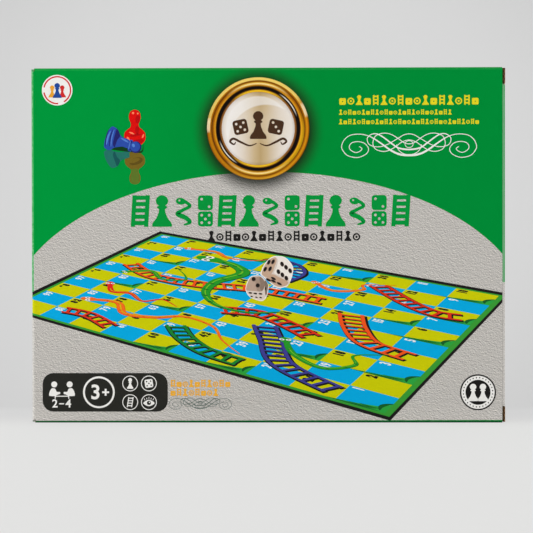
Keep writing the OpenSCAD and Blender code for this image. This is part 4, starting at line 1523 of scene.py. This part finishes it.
def print_pawns():
    """A standing red pawn, a blue one that lies before it, and both mirrored below."""
    layer = PrintedLayer("print_pawns")
    x, z = MIRROR_AT
    standing = both_sides(STANDING_HALF)

    def area(ink_name, level, points):
        layer.fill(ink_name, level, smooth(moved(points, x, z), 4, closed=True))

    def mirrored(ink_name, level, points, wide, tall, drop):
        outline = [(x + u * wide, z - v * tall + drop) for u, v in points]
        layer.fill(ink_name, level, smooth(outline, 4, closed=True))

    def spot(ink_name, level, u, v, rx, rz=None, turn=0.0, count=32):
        layer.fill(ink_name, level, oval(x + u, z + v, rx, rz, turn, count))

    def stroke(ink_name, level, points, width):
        layer.line(ink_name, level, smooth(moved(points, x, z), 6), width)

    mirrored("mirror_red", 0.03, standing, 0.94, 0.88, 1.0)
    mirrored("mirror_olive", 0.035, standing[6:-6], 0.76, 0.88, 1.0)
    spot("mirror_red_dark", 0.04, 0.8, -6.9, 4.4, 2.2, 18)
    spot("mirror_red", 0.045, -0.4, -6.5, 3.6, 1.3, 18)
    mirrored("mirror_blue", 0.05, LYING_FOOT, 1.0, 0.8, 0.8)
    mirrored("mirror_blue_dark", 0.055, LYING_SHADE, 1.0, 0.8, 0.8)
    area("contact_shadow", 0.06, CONTACT_SHADOW)
    area("toy_red", 0.07, standing)
    for place in STANDING_DARKS:
        spot("toy_red_dark", 0.08, *place)
    for place in STANDING_LIGHTS:
        spot("toy_red_light", 0.09, *place, count=16)
    area("toy_blue", 0.1, LYING_FOOT)
    area("toy_blue_dark", 0.11, LYING_SHADE)
    area("toy_blue", 0.12, LYING_RIM)
    stroke("toy_blue_light", 0.13, [(-15.4, 12.2), (-17.2, 8.0), (-18.0, 3.6)], swelling(0.3, 0.9))
    stroke("toy_blue_light", 0.13, [(-8.8, 7.8), (-6.4, 6.4), (-4.0, 5.0)], swelling(0.3, 0.8))
    for shift, ink_name in ((2.4, "toy_blue_light"), (1.4, "toy_blue_dark"), (-1.2, "toy_blue_dark")):
        ridge = [(x - 15.4 + shift, z + 13.2), (x - 17.0 + shift, z + 8.0), (x - 17.6 + shift, z + 2.4)]
        layer.line(ink_name, 0.128, smooth(ridge, 6), swelling(0.2, 0.5))
    area("toy_blue", 0.135, LYING_COLLAR)
    stroke("toy_blue_light", 0.138, [(-2.9, 5.6), (-3.5, 3.0), (-4.0, 1.0)], 0.5)
    stroke("toy_blue_dark", 0.14, [(-1.9, 6.0), (-2.6, 3.0), (-3.2, -0.2)], 0.7)
    spot("toy_blue_dark", 0.145, 0.5, 2.0, 3.7)
    spot("toy_blue", 0.15, 0.1, 2.3, 3.2)
    spot("toy_blue_light", 0.155, -0.9, 3.1, 0.9, 1.2, 20)
    layer.build()


# Contents


def dress_game_board():
    book = bpy.context.scene.board_picture
    margin = 7

    def wrap(wires, place):
        pebble = wires.group("pebble_grain", place=place, size=0.9, contrast=1.2)
        return wires.shade(srgb(34, 34, 36), pebble["Shade"]), pebble["Height"]

    def squares(wires, place):
        low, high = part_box("board_sheet_front")
        x, _, z = wires.split(place)
        left, right, top = low.x / MM + margin, high.x / MM - margin, high.z / MM - margin
        column = wires.math("FLOOR", wires.spread(x, left, right, 0.0, float(book.squares)))
        row = wires.math("FLOOR", wires.spread(z, low.z / MM, top, 0.0, book.squares / 2))
        odd = wires.above(wires.math("MODULO", wires.plus(column, row), 2.0), 0.5)
        grain = wires.group("paper_grain", place=place, scale=1.6, contrast=0.1)
        field = wires.mix(odd, tuple(book.blue), tuple(book.yellow))
        edge_x = wires.above(wires.absolute(x), right)
        edge_z = wires.above(z, top)
        field = wires.mix(wires.larger(edge_x, edge_z), field, tuple(book.border))
        return wires.shade(field, grain["Shade"]), grain["Height"]

    wrapped = finish("board_wrap", wrap, roughness=0.55, specular=0.3, bump=0.05)
    printed = finish("board_squares", squares, roughness=0.4, specular=0.3, bump=0.01)
    taped = finish("spine_tape", grained(srgb(30, 30, 32), 2.5, 0.4), roughness=0.6, bump=0.05)
    for side in ("front", "back"):
        dress_whole("board_leaf_" + side, wrapped)
        dress_whole("board_sheet_" + side, printed)
    dress_whole("board_spine", taped)


def dress_insert():
    card = finish("insert_card", grained(srgb(226, 222, 214), 1.4, 0.16), roughness=0.75, bump=0.04)
    paper = finish("leaflet_paper", grained(srgb(240, 239, 235), 2.0, 0.06), roughness=0.8, bump=0.02)
    dress_whole("insert_card", card)
    dress_whole("rules_leaflet", paper)


def dress_pieces():
    for name, display in (
        ("pawn_red", (214, 22, 18)), ("pawn_blue", (36, 70, 178)),
        ("pawn_yellow", (240, 190, 24)), ("pawn_green", (18, 140, 62)),
    ):
        recipe = grained(srgb(*display), 0.6, 0.16)
        dress_whole(name, finish(name + "_plastic", recipe, 0.22, 0.5, 0.02, Coat_Weight=0.3))
    body = finish("die_ivory", grained(srgb(232, 220, 208), 0.7, 0.12), 0.25, 0.5, 0.02)
    pip = finish("die_pip", grained(srgb(26, 22, 22), 1.5, 0.3), roughness=0.5)
    # A pip's faces are slanted, near a side of the die and away from its corners
    upright, near_side, off_corner = 0.9999, 0.9, 1.36
    for name in ("die_left", "die_right"):
        dress_whole(name, body)
        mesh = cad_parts[name].data
        mesh.materials.append(pip)
        low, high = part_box(name)
        middle, half = (low + high) / 2, (high.x - low.x) / 2
        for polygon in mesh.polygons:
            off = polygon.center - middle
            furthest = max(abs(part) for part in off)
            slanted = max(abs(part) for part in polygon.normal) < upright
            in_pip = slanted and furthest > half * near_side and off.length < half * off_corner
            polygon.material_index = 1 if in_pip else 0


# Studio


def backdrop_colours(wires, place):
    """Pale floor that turns into a wall with painted shade: a little darker, most of all at its far sides and
    top.
    """
    studio = bpy.context.scene.studio
    _, y, z = wires.split(place)
    # Painted shade: the wall part of the sweep takes a darker colour than the floor
    colour = wires.mix(wires.spread(y, -70.0, 60.0, soft=True), tuple(studio.floor), tuple(studio.wall))
    centred = wires.vector("SUBTRACT", place, (0, 0, 155))
    away = wires.vector("LENGTH", wires.vector("MULTIPLY", centred, (0.93, 0, 1)))
    # Painted shade: the wall darkens away from the carton, towards its sides and top
    painted_falloff = wires.spread(away, 145.0, 325.0, 1.0, 0.87, soft=True)
    painted_falloff = wires.larger(painted_falloff, wires.spread(z, 0.0, 20.0, 1.0, 0.0))
    grain = wires.group("paper_grain", place=place, scale=0.05, contrast=0.012)
    return wires.shade(wires.shade(colour, painted_falloff), grain["Shade"]), grain["Height"]


def backdrop_paper():
    """Paper that the camera sees nearly in its plain colour, and that is clear from behind, so that the
    carton's back can be looked at."""
    paper = finish("studio_paper", backdrop_colours, 0.9, 0.02)
    tree = paper.node_tree
    wires = Wiring(tree)
    shader, output = tree.nodes["Principled BSDF"], tree.nodes["Material Output"]

    def blend_of(factor, first, second):
        blend = wires.add("ShaderNodeMixShader")
        for socket, value in zip(blend.inputs, (factor, first, second)):
            wires.feed(socket, value)
        return blend.outputs[0]

    plain = wires.add("ShaderNodeEmission")
    wires.feed(plain.inputs["Color"], shader.inputs["Base Color"].links[0].from_socket)
    to_camera = wires.add("ShaderNodeLightPath").outputs["Is Camera Ray"]
    seen = wires.times(to_camera, bpy.context.scene.studio.glow)
    front = blend_of(seen, shader.outputs[0], plain.outputs[0])
    behind = wires.add("ShaderNodeNewGeometry").outputs["Backfacing"]
    clear = wires.add("ShaderNodeBsdfTransparent").outputs[0]
    wires.feed(output.inputs["Surface"], blend_of(behind, front, clear))
    return paper


def build_studio():
    scene = bpy.context.scene
    studio = scene.studio
    # The sweep of paper in metres: floor, round turn and wall
    near, turn_y, radius, top, half, steps = -2.6, 0.075, 0.35, 2.4, 3.0, 24
    profile = [(near, 0.0), (turn_y, 0.0)]
    for i in range(1, steps + 1):
        a = math.pi / 2 * i / steps
        profile.append((turn_y + radius * math.sin(a), radius * (1 - math.cos(a))))
    profile.append((turn_y + radius, top))
    verts = [(x, y, z) for y, z in profile for x in (-half, half)]
    faces = [(2 * i, 2 * i + 1, 2 * i + 3, 2 * i + 2) for i in range(len(profile) - 1)]
    mesh = bpy.data.meshes.new("studio_backdrop")
    mesh.from_pydata(verts, [], faces)
    mesh.shade_smooth()
    mesh.materials.append(backdrop_paper())
    sweep = add_object("studio_backdrop", mesh)

    world = bpy.data.worlds.new("studio_room")
    scene.world = world
    world.use_nodes = True
    background = world.node_tree.nodes["Background"]
    background.inputs["Color"].default_value = (1, 1, 1, 1)
    background.inputs["Strength"].default_value = studio.room

    aim = Vector((0, 0, 0.1))
    for name, place, power, size in (
        ("key_lamp", (-1.3, -1.4, 1.2), studio.key_power, 1.1),
        ("left_lamp", (-1.2, -0.1, 0.5), studio.side_power, 0.8),
        ("right_lamp", (1.2, -0.1, 0.5), studio.side_power, 0.8),
    ):
        lamp = bpy.data.lights.new(name, "AREA")
        lamp.energy = power
        lamp.size = size
        holder = add_object(name, lamp)
        holder.location = place
        holder.rotation_euler = (aim - Vector(place)).to_track_quat("-Z", "Y").to_euler()

    camera = bpy.data.cameras.new("camera")
    camera.lens = studio.lens
    camera.sensor_width = 36
    camera.clip_end = 20
    holder = add_object("camera", camera)
    holder.location = (studio.camera_x, -studio.distance, studio.camera_z)
    roll = math.radians(0.1)
    holder.rotation_euler = (math.pi / 2 - studio.pitch, roll, studio.yaw)
    scene.camera = holder
    scene.view_settings.view_transform = "Standard"


# Operators


class BOXGAME_OT_sleeve(bpy.types.Operator):
    """Print the sleeve's four panels and finish their cut edges"""

    bl_idname = "boxgame.sleeve"
    bl_label = "Carton sleeve"

    def execute(self, context):
        dress_sleeve()
        return {"FINISHED"}


class BOXGAME_OT_ends(bpy.types.Operator):
    """Finish the closures, tuck flaps and dust flaps, with a crease over each fold"""

    bl_idname = "boxgame.ends"
    bl_label = "Closures and flaps"

    def execute(self, context):
        dress_ends()
        return {"FINISHED"}


class BOXGAME_OT_medallion(bpy.types.Operator):
    """Print the gold medallion"""

    bl_idname = "boxgame.medallion"
    bl_label = "Medallion"

    def execute(self, context):
        print_medallion()
        return {"FINISHED"}


class BOXGAME_OT_ornaments(bpy.types.Operator):
    """Print the frieze, the rows of small signs and the flourishes"""

    bl_idname = "boxgame.ornaments"
    bl_label = "Ornaments"

    def execute(self, context):
        print_ornaments()
        return {"FINISHED"}


class BOXGAME_OT_badges(bpy.types.Operator):
    """Print the round badge and the round seal"""

    bl_idname = "boxgame.badges"
    bl_label = "Badge and seal"

    def execute(self, context):
        print_badges()
        return {"FINISHED"}


class BOXGAME_OT_info_panel(bpy.types.Operator):
    """Print the dark panel with the players, the age and four signs"""

    bl_idname = "boxgame.info_panel"
    bl_label = "Dark panel"

    def execute(self, context):
        print_info_panel(digit_shapes(PANEL_WEIGHT))
        return {"FINISHED"}


class BOXGAME_OT_board_picture(bpy.types.Operator):
    """Print the picture of the board with its numbers, snakes and ladders"""

    bl_idname = "boxgame.board_picture"
    bl_label = "Board picture"

    def execute(self, context):
        print_board_picture(digit_shapes(NUMBER_WEIGHT), digit_shapes(BOLD_WEIGHT))
        return {"FINISHED"}


class BOXGAME_OT_piece_pictures(bpy.types.Operator):
    """Print the pictures of two pawns and two dice"""

    bl_idname = "boxgame.piece_pictures"
    bl_label = "Pawn and dice pictures"

    def execute(self, context):
        print_pawns()
        print_dice()
        return {"FINISHED"}


class BOXGAME_OT_game_board(bpy.types.Operator):
    """Finish the folding board inside"""

    bl_idname = "boxgame.game_board"
    bl_label = "Folding board"

    def execute(self, context):
        dress_game_board()
        return {"FINISHED"}


class BOXGAME_OT_insert(bpy.types.Operator):
    """Finish the card insert and the leaflet"""

    bl_idname = "boxgame.insert"
    bl_label = "Insert and leaflet"

    def execute(self, context):
        dress_insert()
        return {"FINISHED"}


class BOXGAME_OT_pieces(bpy.types.Operator):
    """Finish the pawns and the dice"""

    bl_idname = "boxgame.pieces"
    bl_label = "Pawns and dice"

    def execute(self, context):
        dress_pieces()
        return {"FINISHED"}


class BOXGAME_OT_stage(bpy.types.Operator):
    """Build the floor, the lamps and the camera"""

    bl_idname = "boxgame.stage"
    bl_label = "Studio"

    def execute(self, context):
        build_studio()
        return {"FINISHED"}


OPERATORS = (
    BOXGAME_OT_sleeve, BOXGAME_OT_ends, BOXGAME_OT_medallion, BOXGAME_OT_ornaments, BOXGAME_OT_badges,
    BOXGAME_OT_info_panel, BOXGAME_OT_board_picture, BOXGAME_OT_piece_pictures, BOXGAME_OT_game_board,
    BOXGAME_OT_insert, BOXGAME_OT_pieces, BOXGAME_OT_stage,
)
SETTINGS = {
    "carton_look": CartonLook, "front_print": FrontPrint, "board_picture": BoardPicture, "studio": Studio,
}


class BOXGAME_PT_panel(bpy.types.Panel):
    """Lists the carton's pieces in the sidebar"""

    bl_idname = "BOXGAME_PT_panel"
    bl_label = "Boxed board game"
    bl_space_type = "VIEW_3D"
    bl_region_type = "UI"
    bl_category = "Board game"

    def draw(self, context):
        for operator in OPERATORS:
            self.layout.operator(operator.bl_idname)
        for key, group in SETTINGS.items():
            box = self.layout.box()
            for field in group.__annotations__:
                box.prop(getattr(context.scene, key), field)


def register():
    for group in (*SETTINGS.values(), *OPERATORS, BOXGAME_PT_panel):
        bpy.utils.register_class(group)
    for key, group in SETTINGS.items():
        setattr(bpy.types.Scene, key, bpy.props.PointerProperty(type=group))


def unregister():
    for key in SETTINGS:
        delattr(bpy.types.Scene, key)
    for group in (BOXGAME_PT_panel, *reversed(OPERATORS), *reversed(tuple(SETTINGS.values()))):
        bpy.utils.unregister_class(group)


def main():
    register()
    build_shader_groups()
    for operator in OPERATORS:
        group, name = operator.bl_idname.split(".")
        getattr(getattr(bpy.ops, group), name)()


if __name__ == "__main__":
    main()
